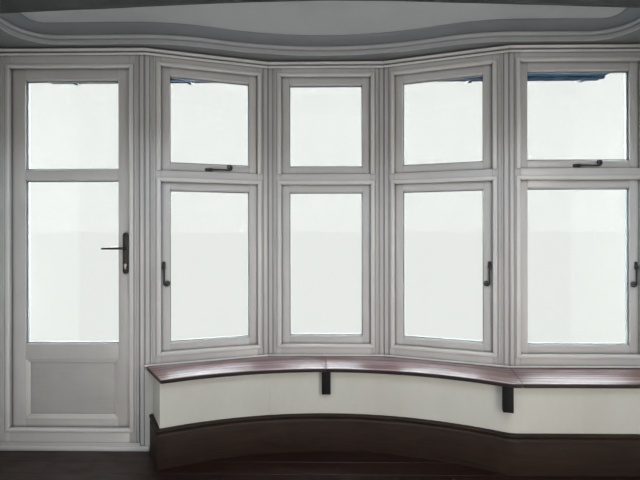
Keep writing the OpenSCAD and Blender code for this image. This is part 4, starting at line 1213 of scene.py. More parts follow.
@dataclass
class Cornice:
    """The moulded batten and the plaster cove over it, which hollow and swell along the bay."""

    face_y: float = -0.040
    bow: float = 0.135
    flat_x: float = 1.000
    radius: float = 1.800
    side: float = 0.190
    turn: float = 0.155
    back: float = 0.014
    height: float = 0.047
    cove_width: float = 0.092
    lip: float = 0.008
    step: float = 0.002
    ease: float = 0.0016

    def build(self) -> None:
        """Sweeps the batten and the cove along one path."""
        low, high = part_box("cornice")
        foot = self.height + self.step
        rise = high.z - low.z - foot
        batten = [(-self.back, 0.0), (0.0, 0.0), (0.0, 0.020), (-0.004, 0.023), (-0.004, 0.026), (0.002, 0.029),
                  (0.006, 0.034), (self.lip, 0.040), (self.lip, self.height), (-self.back, self.height)]
        cove = [(-self.back, self.height), (0.005, self.height), (0.005, foot)]
        for k in range(21):
            angle = math.pi / 2 * k / 20
            cove.append((self.lip + self.cove_width * math.sin(angle), foot + rise * (1 - math.cos(angle))))
        cove.append((-self.back, foot + rise))
        line = self.path(low.z)
        # The batten and the cove take darker finishes: painted shade.
        sweep("cornice_batten", rounded(batten, self.ease), line, PAINT_CORNICE_SHADED, "cornice", ["cornice"])
        sweep("cornice_cove", rounded(cove, self.ease / 2), line, COVE_PLASTER_SHADED, "cornice")

    def path(self, level: float) -> list[Vector]:
        """The line of the batten's face, from the beam at the left side wall round to the beam at the right.

        Args:
            level: the height of the line.
        Returns:
            Its points.
        """
        left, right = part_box("side_wall_left")[1].x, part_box("side_wall_right")[0].x
        start_y, bend_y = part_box("oak_beam")[1].y, self.face_y - self.turn
        rise = self.bow - self.face_y
        whole = (self.flat_x ** 2 + rise ** 2) / (2 * rise)
        swell, half = whole - self.radius, math.degrees(math.asin(self.flat_x / whole))
        bend = self.side + self.turn
        arcs = [((left + bend, bend_y), self.turn, 180, 90, 18),
                ((-self.flat_x, swell + self.face_y), swell, -90, half - 90, 30),
                ((0, self.bow - self.radius), self.radius, 90 + half, 90 - half, 40),
                ((self.flat_x, swell + self.face_y), swell, -90 - half, -90, 30),
                ((right - bend, bend_y), self.turn, 90, 0, 18)]
        line = [Vector((left + self.side, start_y, level))]
        for (x, y), radius, first, last, steps in arcs:
            for k in range(steps + 1):
                angle = math.radians(first + (last - first) * k / steps)
                spot = Vector((x + radius * math.cos(angle), y + radius * math.sin(angle), level))
                if (spot - line[-1]).length > 1e-4:
                    line.append(spot)
        return line + [Vector((right - self.side, start_y, level))]


# Roof and eave


@dataclass
class Roof:
    """The tiled lean-to roof over the bay, with its painted eave and gutter."""

    pitch: float = math.radians(22)
    eave_y: float = 0.622
    head_y: float = -0.570
    overhang: float = 0.045
    columns: int = 22
    gauge: float = 0.100
    tile_length: float = 0.265
    tile_thickness: float = 0.012
    tile_joint: float = 0.0024
    head_gap: float = 0.03
    crown: float = 0.0028
    sag: float = 0.002
    lift: float = 0.036
    under_lift: float = 0.016
    seed: int = 7

    def build(self) -> None:
        """Makes the tiles and dresses the eave."""
        dress("roof_deck", DECK_BOARDS)
        dress("roof_cheeks", OUTER_RENDER)
        eased("soffit", 0.001, EAVE_PAINT)
        eased("fascia", 0.002, EAVE_PAINT)
        dress("gutter", GUTTER_COAT)
        dress("gutter_brackets", GUTTER_COAT)
        self.tiles()

    def tile(self, width: float) -> bpy.types.Object:
        """One plain tile with a slight camber across and along, its tail at the origin and its head up the slope.

        Args:
            width: the tile's width.
        Returns:
            The tile, which is used up by the roof.
        """
        shape = bmesh.new()
        across, down = 5, 4
        half = (width - self.tile_joint) / 2
        faces = []
        for level in (0.0, -self.tile_thickness):
            grid = []
            for i in range(across):
                for j in range(down):
                    u = -half + 2 * half * i / (across - 1)
                    v = self.tile_length * j / (down - 1)
                    rise = self.crown * (1 - (u / half) ** 2) + self.sag * math.sin(math.pi * v / self.tile_length)
                    grid.append(shape.verts.new((u, v, level + rise)))
            faces.append(grid)
        top, under = faces
        for i in range(across - 1):
            for j in range(down - 1):
                a, b, c, d = i * down + j, (i + 1) * down + j, (i + 1) * down + j + 1, i * down + j + 1
                shape.faces.new((top[a], top[b], top[c], top[d]))
                shape.faces.new((under[d], under[c], under[b], under[a]))
        rim = [i * down for i in range(across)] + [(across - 1) * down + j for j in range(1, down)]
        rim += [i * down + down - 1 for i in range(across - 2, -1, -1)] + [j for j in range(down - 2, 0, -1)]
        for a, b in zip(rim, rim[1:] + rim[:1]):
            shape.faces.new((top[b], top[a], under[a], under[b]))
        bmesh.ops.recalc_face_normals(shape, faces=shape.faces)
        return shown_as("tile", shape)

    def tiles(self) -> bpy.types.Object:
        """Courses of tiles with half-tile bond, half tiles at the verges and an under-course at the eave.

        Returns:
            The roof tiles.
        """
        low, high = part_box("roof_deck")
        width = (high.x - low.x) / self.columns
        whole, half = self.tile(width), self.tile(width / 2)
        grower = Grower("hang_roof_tiles", {
            "Tile": ("NodeSocketObject", whole), "Half tile": ("NodeSocketObject", half),
            "Width": ("NodeSocketFloat", width), "Gauge": ("NodeSocketFloat", self.gauge),
            "Tilt": ("NodeSocketFloat", math.atan2(self.tile_thickness, self.gauge)),
            "Lift": ("NodeSocketFloat", self.lift), "Left edge": ("NodeSocketFloat", low.x),
            "Seed": ("NodeSocketInt", self.seed)})
        run = (self.eave_y - self.head_y) / math.cos(self.pitch) + self.overhang
        courses = int((run - self.head_gap) / self.gauge)
        fields = [
            self.course(grower, "Tile", self.columns, (courses + 1) // 2, 0.5, 0, 2, 1.0),
            self.course(grower, "Tile", self.columns - 1, courses // 2, 1.0, 1, 2, 1.0),
            self.course(grower, "Half tile", 2, courses // 2, 0.25, 1, 2, self.columns - 0.5),
            self.course(grower, "Tile", self.columns - 1, 1, 1.0, -0.35, 1, 1.0),
            self.course(grower, "Half tile", 2, 1, 0.25, -0.35, 1, self.columns - 0.5)]
        joined = grower.web.make("GeometryNodeJoinGeometry")
        for part in reversed(fields):
            grower.web.feed(joined.inputs[0], part)
        slope = grower.web.out("GeometryNodeTransform",
                               {"Geometry": joined.outputs[0], "Rotation": (-self.pitch, 0.0, 0.0),
                                "Translation": self.eave_point()}, mode="COMPONENTS")
        grower.end(slope, ROOF_CLAY)
        grown = grower.grow(link("roof_tiles", bpy.data.meshes.new("roof_tiles")))
        for used in (whole, half):
            bpy.data.objects.remove(used)
        return hand_over(soft_edges(grown, 35), "bay")

    def eave_point(self) -> tuple[float, float, float]:
        """Where the slope of the deck's upper side starts, at the tails of the first course."""
        top = min(v.co.z for v in frame["nodes"]["roof_deck"].data.vertices if v.co.y > self.eave_y - 0.001) + 0.040
        reach, drop = self.overhang * math.cos(self.pitch), self.overhang * math.sin(self.pitch)
        return 0.0, self.eave_y + reach, top - drop

    def course(self, grower: Grower, tile: str, count: int, rows: int, offset: float, first: float, step: int,
               spacing: float) -> bpy.types.NodeSocket:
        """Tiles in rows over the slope.

        Args:
            grower: the tree to add to.
            tile: the named input that holds the tile.
            count: tiles in a row.
            rows: how many rows.
            offset: the first tile's middle, in tile widths from the left edge.
            first: the first row's place, in gauges.
            step: gauges from one of these rows to the next.
            spacing: tile widths from one tile to the next.
        Returns:
            The tiles, as instances that carry their shade.
        """
        web = grower.web
        points = web.out("GeometryNodePoints", {"Count": count * rows})
        index = web.out("GeometryNodeInputIndex")
        row = web.cell(web.plus(index, 0.5), float(count))
        column = web.minus(index, web.times(row, float(count)))
        along = web.times(web.plus(web.times(column, float(spacing)), offset), grower.given("Width"))
        x = web.plus(along, grower.given("Left edge"))
        up = web.times(web.plus(web.times(row, float(step)), float(first)), grower.given("Gauge"))
        seed = web.plus(grower.given("Seed"), float(len(web.tree.nodes)))
        loose = web.out("FunctionNodeRandomValue",
                        {0: (-0.006, -0.008, -0.006), 1: (0.006, 0.008, 0.006),
                         "Seed": seed}, data_type="FLOAT_VECTOR")
        jump = web.out("FunctionNodeRandomValue", {2: 0.0, 3: 1.0, "Seed": web.plus(seed, 31.0)}, port=1,
                       data_type="FLOAT")
        lift = web.plus(grower.given("Lift") if first >= 0 else self.under_lift, web.times(jump, 0.0012))
        spots = web.out("GeometryNodeSetPosition",
                        {"Geometry": points, "Position": web.vector(x, web.times(up, -1.0), lift)})
        shaded = web.out("GeometryNodeStoreNamedAttribute", {"Geometry": spots, "Name": "shade", "Value": jump},
                         data_type="FLOAT", domain="POINT")
        tilt = web.vector(web.times(grower.given("Tilt"), -1.0 if first >= 0 else -0.2), 0.0, math.pi)
        turn = web.out("ShaderNodeVectorMath", {0: tilt, 1: loose}, operation="ADD")
        body = web.out("GeometryNodeObjectInfo", {"Object": grower.given(tile)}, port="Geometry")
        return web.out("GeometryNodeInstanceOnPoints", {"Points": shaded, "Instance": body, "Rotation": turn})


# Rods and fixings


@dataclass
class Rod:
    """A bar that follows a path and changes its thickness on the way, such as a forged handle."""

    path: list[Vector]
    girth: list[float]

    def add_to(self, shape: bmesh.types.BMesh, layer: bmesh.types.BMLayerItem, place: Matrix) -> None:
        """Adds the path as a line of edges.

        Args:
            shape: the mesh to add to.
            layer: where the bar's radius at each point is kept.
            place: the matrix that puts the bar.
        """
        before = None
        for spot, radius in zip(self.path, self.girth):
            point = shape.verts.new(place @ spot)
            point[layer] = radius
            if before is not None:
                shape.edges.new((before, point))
            before = point


def forge(name: str, rods: Sequence[tuple[Rod, Matrix]], finish: Finish, sides: int = 14) -> bpy.types.Object:
    """Grows round bars along paths.

    Args:
        name: the new object's name.
        rods: each bar with its place.
        finish: the bars' finish.
        sides: how many sides a bar has.
    Returns:
        One object with all the bars.
    """
    grower = Grower("forge_" + name, {"Sides": ("NodeSocketInt", sides)})
    web = grower.web
    curves = web.out("GeometryNodeMeshToCurve", {"Mesh": grower.given("Geometry")})
    ring = web.out("GeometryNodeCurvePrimitiveCircle", {"Resolution": grower.given("Sides"), "Radius": 1.0},
                   mode="RADIUS")
    girth = web.out("GeometryNodeInputNamedAttribute", {"Name": "girth"}, data_type="FLOAT")
    tube = web.out("GeometryNodeCurveToMesh",
                   {"Curve": curves, "Profile Curve": ring, "Scale": girth, "Fill Caps": True})
    smooth = web.out("GeometryNodeSetShadeSmooth", {"Geometry": tube, "Shade Smooth": True})
    grower.end(smooth, finish)
    shape = bmesh.new()
    layer = shape.verts.layers.float.new("girth")
    for rod, place in rods:
        rod.add_to(shape, layer, place)
    return grower.grow(shown_as(name, shape))


def merged(name: str, pieces: Sequence[bpy.types.Object]) -> bpy.types.Object:
    """Joins plain objects that share a finish into one.

    Args:
        name: the new object's name.
        pieces: the objects, which are used up.
    Returns:
        The joined object.
    """
    shape = bmesh.new()
    for piece in pieces:
        shape.from_mesh(piece.data)
        bpy.data.objects.remove(piece)
    bmesh.ops.recalc_face_normals(shape, faces=shape.faces)
    return shown_as(name, shape)


def turned(name: str, profile: Sequence[tuple[float, float]], places: Sequence[Matrix],
           steps: int = 24) -> bpy.types.Object:
    """A turned form, such as a knob or a rose, at each place.

    Args:
        name: the new object's name.
        profile: radius and height of each point, from the foot up; it starts and ends on the axis.
        places: the matrices that put the form's axis.
        steps: how many sides the form has.
    Returns:
        One object with all the forms.
    """
    shape = bmesh.new()
    for place in places:
        rings = []
        for radius, height in profile:
            if radius < 1e-6:
                rings.append([shape.verts.new(place @ Vector((0, 0, height)))])
                continue
            rings.append([shape.verts.new(place @ Vector((radius * math.cos(math.tau * k / steps),
                                                          radius * math.sin(math.tau * k / steps), height)))
                          for k in range(steps)])
        for low, high in zip(rings, rings[1:]):
            for k in range(steps):
                after = (k + 1) % steps
                if len(low) == 1:
                    shape.faces.new((low[0], high[k], high[after]))
                elif len(high) == 1:
                    shape.faces.new((low[after], low[k], high[0]))
                else:
                    shape.faces.new((low[k], high[k], high[after], low[after]))
    bmesh.ops.recalc_face_normals(shape, faces=shape.faces)
    return soft_edges(shown_as(name, shape), 45)


@dataclass
class ScrewSet:
    """Slotted screw heads, set by a geometry tree at marked points that carry the way they face."""

    radius: float = 0.0036
    slot: float = 0.0009

    def head(self) -> bpy.types.Object:
        """One domed head with a slot, its axis along Z."""
        shape = bmesh.new()
        sides, rings = 16, []
        for share, height in ((1.0, 0.0), (0.94, 0.0006), (0.62, 0.0012)):
            rings.append([shape.verts.new((self.radius * share * math.cos(math.tau * (k + 0.5) / sides),
                                           self.radius * share * math.sin(math.tau * (k + 0.5) / sides), height))
                          for k in range(sides)])
        for low, high in zip(rings, rings[1:]):
            for k in range(sides):
                after = (k + 1) % sides
                shape.faces.new((low[k], low[after], high[after], high[k]))
        shape.faces.new(rings[-1])
        shape.faces.new(list(reversed(rings[0])))
        box_mesh(shape, (-self.radius * 0.6, -self.slot / 2, 0.0011), (self.radius * 0.6, self.slot / 2, 0.0014))
        return shown_as("screw_head", shape)

    def drive(self, name: str, marks: Sequence[tuple[Vector, Vector]], finish: Finish) -> bpy.types.Object:
        """Sets a screw at each mark.

        Args:
            name: the new object's name.
            marks: for each screw its place and the way that it faces.
            finish: the screws' finish.
        Returns:
            One object with all the screws.
        """
        head = self.head()
        grower = Grower("drive_" + name, {"Screw": ("NodeSocketObject", head), "Seed": ("NodeSocketInt", 3)})
        web = grower.web
        facing = web.out("GeometryNodeInputNamedAttribute", {"Name": "facing"}, data_type="FLOAT_VECTOR")
        turn = web.out("FunctionNodeRandomValue", {2: 0.0, 3: 3.1, "Seed": grower.given("Seed")}, port=1,
                       data_type="FLOAT")
        spun = web.out("FunctionNodeAxisAngleToRotation", {"Axis": (0.0, 0.0, 1.0), "Angle": turn})
        aimed = web.out("FunctionNodeAlignRotationToVector", {"Vector": facing}, axis="Z")
        both = web.out("FunctionNodeRotateRotation", {0: aimed, 1: spun}, rotation_space="LOCAL")
        body = web.out("GeometryNodeObjectInfo", {"Object": grower.given("Screw")}, port="Geometry")
        set_in = web.out("GeometryNodeInstanceOnPoints",
                         {"Points": grower.given("Geometry"), "Instance": body, "Rotation": both})
        grower.end(set_in, finish)
        shape = bmesh.new()
        layer = shape.verts.layers.float_vector.new("facing")
        for spot, way in marks:
            shape.verts.new(spot)[layer] = way
        grown = grower.grow(shown_as(name, shape))
        bpy.data.objects.remove(head)
        return soft_edges(grown, 35)


def plate_mesh(name: str, outline: Sequence[tuple[float, float]], thick: float, ease: float,
               places: Sequence[Matrix]) -> bpy.types.Object:
    """A flat plate with eased edges at each place, its outline in X and Z and its face towards -Y.

    Args:
        name: the new object's name.
        outline: the plate's corners in order.
        thick: its thickness.
        ease: the width of the rounded edge.
        places: the matrices that put the plate's back at y = 0.
    Returns:
        One object with all the plates.
    """
    shape = bmesh.new()
    for place in places:
        back = [shape.verts.new(place @ Vector((x, 0, z))) for x, z in outline]
        front = [shape.verts.new(place @ Vector((x, -thick, z))) for x, z in outline]
        shape.faces.new(back)
        shape.faces.new(list(reversed(front)))
        for k in range(len(outline)):
            after = (k + 1) % len(outline)
            shape.faces.new((back[after], back[k], front[k], front[after]))
    bmesh.ops.recalc_face_normals(shape, faces=shape.faces)
    piece = shown_as(name, shape)
    rounding = piece.modifiers.new("rounding", "BEVEL")
    rounding.width, rounding.segments = ease, 2
    rounding.limit_method, rounding.angle_limit = "ANGLE", math.radians(50)
    return soft_edges(bake(piece))


def stadium(width: float, height: float, middle: float = 0.0, steps: int = 10) -> list[tuple[float, float]]:
    """The outline of a plate with half-round ends.

    Args:
        width, height: the plate's size.
        middle: the height of its middle.
        steps: how many sides make each end.
    Returns:
        The outline's points.
    """
    radius, reach = width / 2, height / 2 - width / 2
    points = [(radius * math.cos(math.pi * k / steps), middle + reach + radius * math.sin(math.pi * k / steps))
              for k in range(steps + 1)]
    return points + [(-x, 2 * middle - z) for x, z in points]


# Timber frame


@dataclass
class TimberFrame:
    """Posts, jambs, heads, transoms, sills and their mouldings."""

    ease: float = 0.0022
    fine: float = 0.0009

    def build(self) -> None:
        """Rounds every edge of the frame and paints it along each member."""
        eased("corner_posts", self.fine, PAINT_POST)
        eased("end_jambs", self.fine, PAINT_UPRIGHT)
        for node in ("frame_heads", "transoms", "window_sills", "outer_sills", "door_threshold"):
            eased(node, self.ease, PAINT_LEVEL)
        # Beads and head mouldings take lighter paints: painted highlights.
        eased("frame_beads", 0.0008, PAINT_BEAD_LIT)
        eased("head_mouldings", 0.002, PAINT_HEAD_LIT)
        dress("frame_hinges", HINGE_STEEL)


# Casements


@dataclass
class DoubleGlazing:
    """Sealed units: two sheets of glass with a spacer bar between them."""

    node: str
    body: str
    sheet: float = 0.004
    bar: float = 0.004
    inset: float = 0.0004
    play: float = 0.0002

    def panes(self) -> list[list[Vector]]:
        """The corners of each pane of the node, in the same order on every run.

        Returns:
            Eight corners a pane.
        """
        shape = solid_of(self.node)
        seen, found = set(), []
        for start in shape.verts:
            if start in seen:
                continue
            seen.add(start)
            stack, island = [start], []
            while stack:
                here = stack.pop()
                island.append(here.co.copy())
                for edge in here.link_edges:
                    other = edge.other_vert(here)
                    if other not in seen:
                        seen.add(other)
                        stack.append(other)
            found.append(island)
        shape.free()
        return found

    def build(self) -> None:
        """Makes the sheets and the spacer bars of each pane."""
        sheets, bars = bmesh.new(), bmesh.new()
        for corners in self.panes():
            middle = sum(corners, Vector()) / len(corners)
            flat = [Vector((c.x - middle.x, c.y - middle.y)) for c in corners]
            place = Matrix.Translation(middle) @ Matrix.Rotation(self.facing(flat), 4, "Z")
            back = place.inverted()
            local = [back @ c for c in corners]
            wide, deep, tall = (max(getattr(c, axis) for c in local) for axis in "xyz")
            for side in (-1, 1):
                low = (-wide, side * deep if side < 0 else deep - self.sheet, -tall)
                high = (wide, -deep + self.sheet if side < 0 else deep, tall)
                box_mesh(sheets, low, high, place)
            self.spacer(bars, wide, deep - self.sheet - self.play, tall, place)
        for name, shape, finish, stands_for in (("_sheets", sheets, CLEAR_GLASS, [self.node]),
                                                ("_spacers", bars, SPACER_BAR, [])):
            bmesh.ops.recalc_face_normals(shape, faces=shape.faces)
            hand_over(shown_as(self.node + name, shape), self.body, finish, stands_for)

    def facing(self, flat: Sequence[Vector]) -> float:
        """The angle of a pane's long side in plan.

        Args:
            flat: its corners in plan, about its middle.
        Returns:
            The angle to the X axis.
        """
        best = max((a - b for a in flat for b in flat), key=lambda v: v.length)
        angle = math.atan2(best.y, best.x)
        for known in (0.0, PLAN.cant, -PLAN.cant):
            if abs(math.sin(angle - known)) < 0.09:
                return known
        return angle

    def spacer(self, shape: bmesh.types.BMesh, wide: float, deep: float, tall: float, place: Matrix) -> None:
        """Adds the four bars of one pane.

        Args:
            shape: the mesh to add to.
            wide, deep, tall: half the room for the bars along, across and up the pane.
            place: the matrix that puts the pane.
        """
        bar, inset = self.bar, self.inset
        for low, high in (((-wide + inset, -tall + inset), (-wide + bar, tall - inset)),
                          ((wide - bar, -tall + inset), (wide - inset, tall - inset)),
                          ((-wide + bar, -tall + inset), (wide - bar, -tall + bar)),
                          ((-wide + bar, tall - bar), (wide - bar, tall - inset))):
            box_mesh(shape, (low[0], -deep, low[1]), (high[0], deep, high[1]), place)


@dataclass
class Casements:
    """The eight casements with their double glazing, curled fasteners and stays."""

    pivot_z: float = 0.990
    tail: float = 0.088
    stay: float = 0.105
    curl: float = 0.017
    edge: float = 0.015
    stand: float = 0.010
    light_z1: float = 1.524

    def build(self) -> None:
        """Rounds the sashes, glazes them and hangs the fasteners on them."""
        eased("sash_stiles", 0.0012, PAINT_UPRIGHT)
        eased("sash_rails", 0.0012, PAINT_LEVEL)
        DoubleGlazing("window_glass", "bay").build()
        self.fasteners()

    def scroll(self, length: float) -> Rod:
        """A bar that hangs from its pivot and ends in a scroll.

        Args:
            length: from the pivot to the level of the scroll's middle.
        Returns:
            The bar, from the pivot down, its scroll towards +X.
        """
        path, girth = [], []
        for k in range(9):
            share = k / 9
            path.append(Vector((0.0016 * math.sin(math.pi * share), -self.stand, -length * share)))
            girth.append(0.0048 - 0.0014 * share)
        turns, steps = 1.55, 40
        for k in range(steps + 1):
            share = k / steps
            angle = math.pi + math.tau * turns * share
            radius = self.curl * (1 - 0.74 * share ** 0.9)
            path.append(Vector((self.curl + radius * math.cos(angle), -self.stand, -length + radius * math.sin(angle))))
            girth.append(0.0034 - 0.0011 * share)
        return Rod(path, girth)

    def fasteners(self) -> bpy.types.Object:
        """Plates, pivots and scrolled bars of the three fasteners and two stays.

        Returns:
            All the window furniture as one piece.
        """
        places = []
        flip = Matrix.Scale(-1, 4, (1, 0, 0))
        for facet, mirrored in ((1, False), (3, True), (4, True)):
            start, end = PLAN.opening(facet)
            u = end - self.edge if mirrored else start + self.edge
            spot = PLAN.matrix(facet) @ Matrix.Translation((u, PLAN.stop, PLAN.floor + self.pivot_z))
            places.append((spot @ flip if mirrored else spot, self.tail))
        quarter = Matrix.Rotation(math.radians(-90), 4, "Y")
        for facet in (1, 4):
            start, end = PLAN.opening(facet)
            spot = Matrix.Translation(((start + end) / 2, PLAN.stop, PLAN.floor + self.light_z1 + self.edge))
            places.append((PLAN.matrix(facet) @ spot @ quarter, self.stay))
        rods = forge("fastener_bars", [(self.scroll(length), place) for place, length in places], BLACK_IRON)
        outline = stadium(0.018, 0.044, 0.010)
        plates = plate_mesh("fastener_plates", outline, 0.003, 0.0008, [place for place, _ in places])
        aim = Matrix.Rotation(math.radians(90), 4, "X")
        knob = [(0, 0.0), (0.0085, 0.0), (0.0085, 0.0035), (0.0062, 0.0055), (0.0062, 0.0075), (0.0094, 0.0090),
                (0.0098, 0.0115), (0.0082, 0.0140), (0.0048, 0.0156), (0, 0.0160)]
        knobs = turned("fastener_knobs", knob, [place @ aim for place, _ in places])
        marks = []
        for place, _ in places:
            way = (place.to_3x3() @ Vector((0, -1, 0))).normalized()
            marks += [(place @ Vector((0, -0.003, z)), way) for z in (-0.0065, 0.0250)]
        screws = ScrewSet(0.0026).drive("fastener_screws", marks, BLACK_IRON)
        whole = merged("fasteners_forged", [rods, plates, knobs, screws])
        return hand_over(soft_edges(whole, 45), "bay", BLACK_IRON, ["window_fasteners"])


# Garden door


@dataclass
class GardenDoor:
    """The door leaf with its glass, panel, handles and hinges."""

    handle_u: float = 0.691
    foot: float = 0.228
    lever_up: float = 0.988
    face_y: float = 0.023
    plate: tuple[float, float, float] = (0.030, 0.227, 0.008)
    plate_drop: float = 0.027
    cylinder_drop: float = 0.092
    reach: float = 0.122
    stand: float = 0.034
    bend: float = 0.013
    tip: float = 0.0055
    spindle: float = 0.008

    def build(self) -> None:
        """Rounds the leaf, glazes it and fits its furniture."""
        eased("door_stiles", 0.0015, PAINT_DOOR_UPRIGHT)
        eased("door_rails", 0.0015, PAINT_DOOR_LEVEL)
        # A darker panel paint is painted shade, and a lighter bead paint is painted highlight.
        eased("door_panel", 0.0008, PAINT_PANEL_SHADED)
        eased("door_beads", 0.0008, PAINT_DOOR_BEAD_LIT)
        dress("door_hinges", HINGE_STEEL)
        DoubleGlazing("door_glass", "door").build()
        self.plates()
        self.lever()

    def sides(self) -> list[Matrix]:
        """The places of the spindle on the room side and the garden side, each with its face towards -Y."""
        up = self.foot + self.lever_up
        spot = PLAN.matrix(DOOR) @ Matrix.Translation((self.handle_u, self.face_y, up))
        other = PLAN.matrix(DOOR) @ Matrix.Translation((self.handle_u, self.face_y + PLAN.leaf, up))
        return [spot, other @ Matrix.Scale(-1, 4, (0, 1, 0))]

    def plates(self) -> None:
        """Long backplates with rounded ends, their screws, and the lock cylinder's keyhole."""
        wide, tall, thick = self.plate
        middle = -self.plate_drop
        sides = self.sides()
        outline = stadium(wide, tall, middle, 16)
        plates = plate_mesh("handle_plates", outline, thick, 0.0022, sides)
        aim = Matrix.Rotation(math.radians(90), 4, "X")
        rose = [(0, thick - 0.001), (0.0122, thick - 0.001), (0.0122, thick + 0.0012), (0.0104, thick + 0.0030),
                (0.0088, thick + 0.0034), (0, thick + 0.0034)]
        roses = turned("handle_roses", rose, [side @ aim for side in sides], 32)
        marks = []
        for side in sides:
            way = (side.to_3x3() @ Vector((0, -1, 0))).normalized()
            marks += [(side @ Vector((0, -thick, middle + s * (tall / 2 - 0.013))), way) for s in (-1, 1)]
        screws = ScrewSet().drive("handle_screws", marks, BLACK_IRON)
        whole = merged("handle_plates_forged", [plates, roses, screws])
        hand_over(soft_edges(whole), "door", BLACK_IRON, ["door_plates"])
        self.cylinder(sides, thick)

    def cylinder(self, sides: Sequence[Matrix], thick: float) -> bpy.types.Object:
        """The bright lock cylinder in the plates, round above with a tapering foot and a key slot.

        Args:
            sides: the spindle's places.
            thick: the plates' thickness.
        Returns:
            The cylinder's ends.
        """
        top = [(0.0085 * math.cos(math.radians(a)), -self.cylinder_drop + 0.0085 * math.sin(math.radians(a)))
               for a in range(-50, 231, 20)]
        outline = top + [(-0.005, -self.cylinder_drop - 0.020), (0.0, -self.cylinder_drop - 0.0245),
                         (0.005, -self.cylinder_drop - 0.020)]
        ends = plate_mesh("cylinder_ends", outline, thick + 0.0035, 0.0007, sides)
        hand_over(ends, "door", LOCK_STEEL)
        slot = [(-0.0006, -self.cylinder_drop - 0.005), (0.0006, -self.cylinder_drop - 0.005),
                (0.0006, -self.cylinder_drop + 0.0045), (-0.0006, -self.cylinder_drop + 0.0045)]
        slots = plate_mesh("key_slots", slot, thick + 0.0037, 0.0002, sides)
        return hand_over(slots, "door", BLACK_IRON)

    def lever(self) -> bpy.types.Object:
        """Forged lever handles on both faces and the square spindle between them.

        Returns:
            The levers as one piece.
        """
        neck = self.stand * 0.62
        path, girth = [], []
        for k in range(5):
            path.append(Vector((0, -neck * k / 4, 0)))
            girth.append(0.0078 - 0.0012 * k / 4)
        for k in range(1, 9):
            angle = math.pi / 2 * k / 8
            path.append(Vector((-self.bend * (1 - math.cos(angle)), -neck - self.bend * math.sin(angle), 0)))
            girth.append(0.0066)
        flat = self.reach - self.bend - self.tip
        for k in range(1, 19):
            share = k / 18
            radius = 0.0074 - 0.0020 * share ** 0.8
            path.append(Vector((-self.bend - flat * share,
                                -neck - self.bend - 0.002 * math.sin(math.pi * share), radius - 0.0062)))
            girth.append(radius)
        end = path[-1]
        for k in range(1, 5):
            path.append(end + Vector((-self.tip * math.sin(math.pi / 2 * k / 4), 0, 0)))
            girth.append(max(0.0054 * math.cos(math.pi / 2 * k / 4), 0.0008))
        sides = self.sides()
        bars = forge("lever_bars", [(Rod(path, girth), side) for side in sides], BLACK_IRON, 18)
        shape = bmesh.new()
        half = self.spindle / 2
        box_mesh(shape, (-half, -0.001, -half), (half, PLAN.leaf + 0.001, half),
                 sides[0] @ Matrix.Rotation(math.pi / 4, 4, "Y"))
        whole = merged("lever_handle_forged", [bars, shown_as("spindle", shape)])
        return hand_over(soft_edges(whole, 45), "lever", BLACK_IRON, ["lever_handle"])


# Window board


@dataclass
class WindowBoard:
    """The polished board on the low wall, its brackets and the skirting under it."""

    def build(self) -> None:
        """Rounds the nosing and dresses the board, brackets and skirting."""
        board = eased("window_board", 0.004, BOARD_POLISH, steps=4).data
        # Faces that don't face up take a darker copy of the timber: painted shade.
        board.materials.append(BOARD_EDGE_SHADED.material())
        for face in board.polygons:
            face.material_index = int(face.normal.z < 0.5)
        eased("board_brackets", 0.0015, BRACKET_OAK)
        eased("skirting", 0.0012, SKIRTING_OAK)


# Light, floor and camera


@dataclass(frozen=True)
class Lamp:
    """A soft panel of light.

    It has its place, the point that it shines at, its width and height, its watts, its linear colour, and the angle in
    degrees that its light spreads over.
    """

    name: str
    at: tuple[float, float, float]
    aim: tuple[float, float, float]
    size: tuple[float, float]
    power: float
    colour: Colour
    beam: float = 180.0

    def hang(self) -> None:
        """Puts the lamp into the scene, where neither the camera nor the glass shows it."""
        data = bpy.data.lights.new(self.name, "AREA")
        data.spread = math.radians(self.beam)
        data.shape, data.size, data.size_y = "RECTANGLE", *self.size
        data.energy, data.color = self.power, self.colour
        lamp = link(self.name, data)
        lamp.location = self.at
        lamp.rotation_euler = (Vector(self.aim) - Vector(self.at)).to_track_quat("-Z", "Y").to_euler()
        lamp.visible_camera = False
        lamp.visible_transmission = False


LAMPS = (Lamp("sky_panel", (0.0, 3.6, 2.5), (0.0, 0.0, 1.1), (5.0, 2.6), 140.0, (0.84, 0.92, 1.0)),
         Lamp("room_panel", (0.5, -3.1, 3.9), (0.0, 0.0, 0.8), (1.6, 0.8), 66.0, (0.80, 0.90, 1.0)),
         Lamp("right_strip", (1.7, -2.6, 1.0), (0.2, 0.0, 0.4), (0.5, 1.6), 16.0, (1.0, 0.90, 0.77), 110.0),
         Lamp("left_strip", (-1.7, -2.6, 1.0), (-0.2, 0.0, 0.4), (0.5, 1.6), 8.0, (1.0, 0.91, 0.80), 110.0))
DAYLIGHT = (0.86, 0.93, 1.0)
ROOM_LIGHT = (1.0, 0.98, 0.95)
# A ray whose flag or depth is above this is of that kind, or has met one such surface.
SOME = 0.5


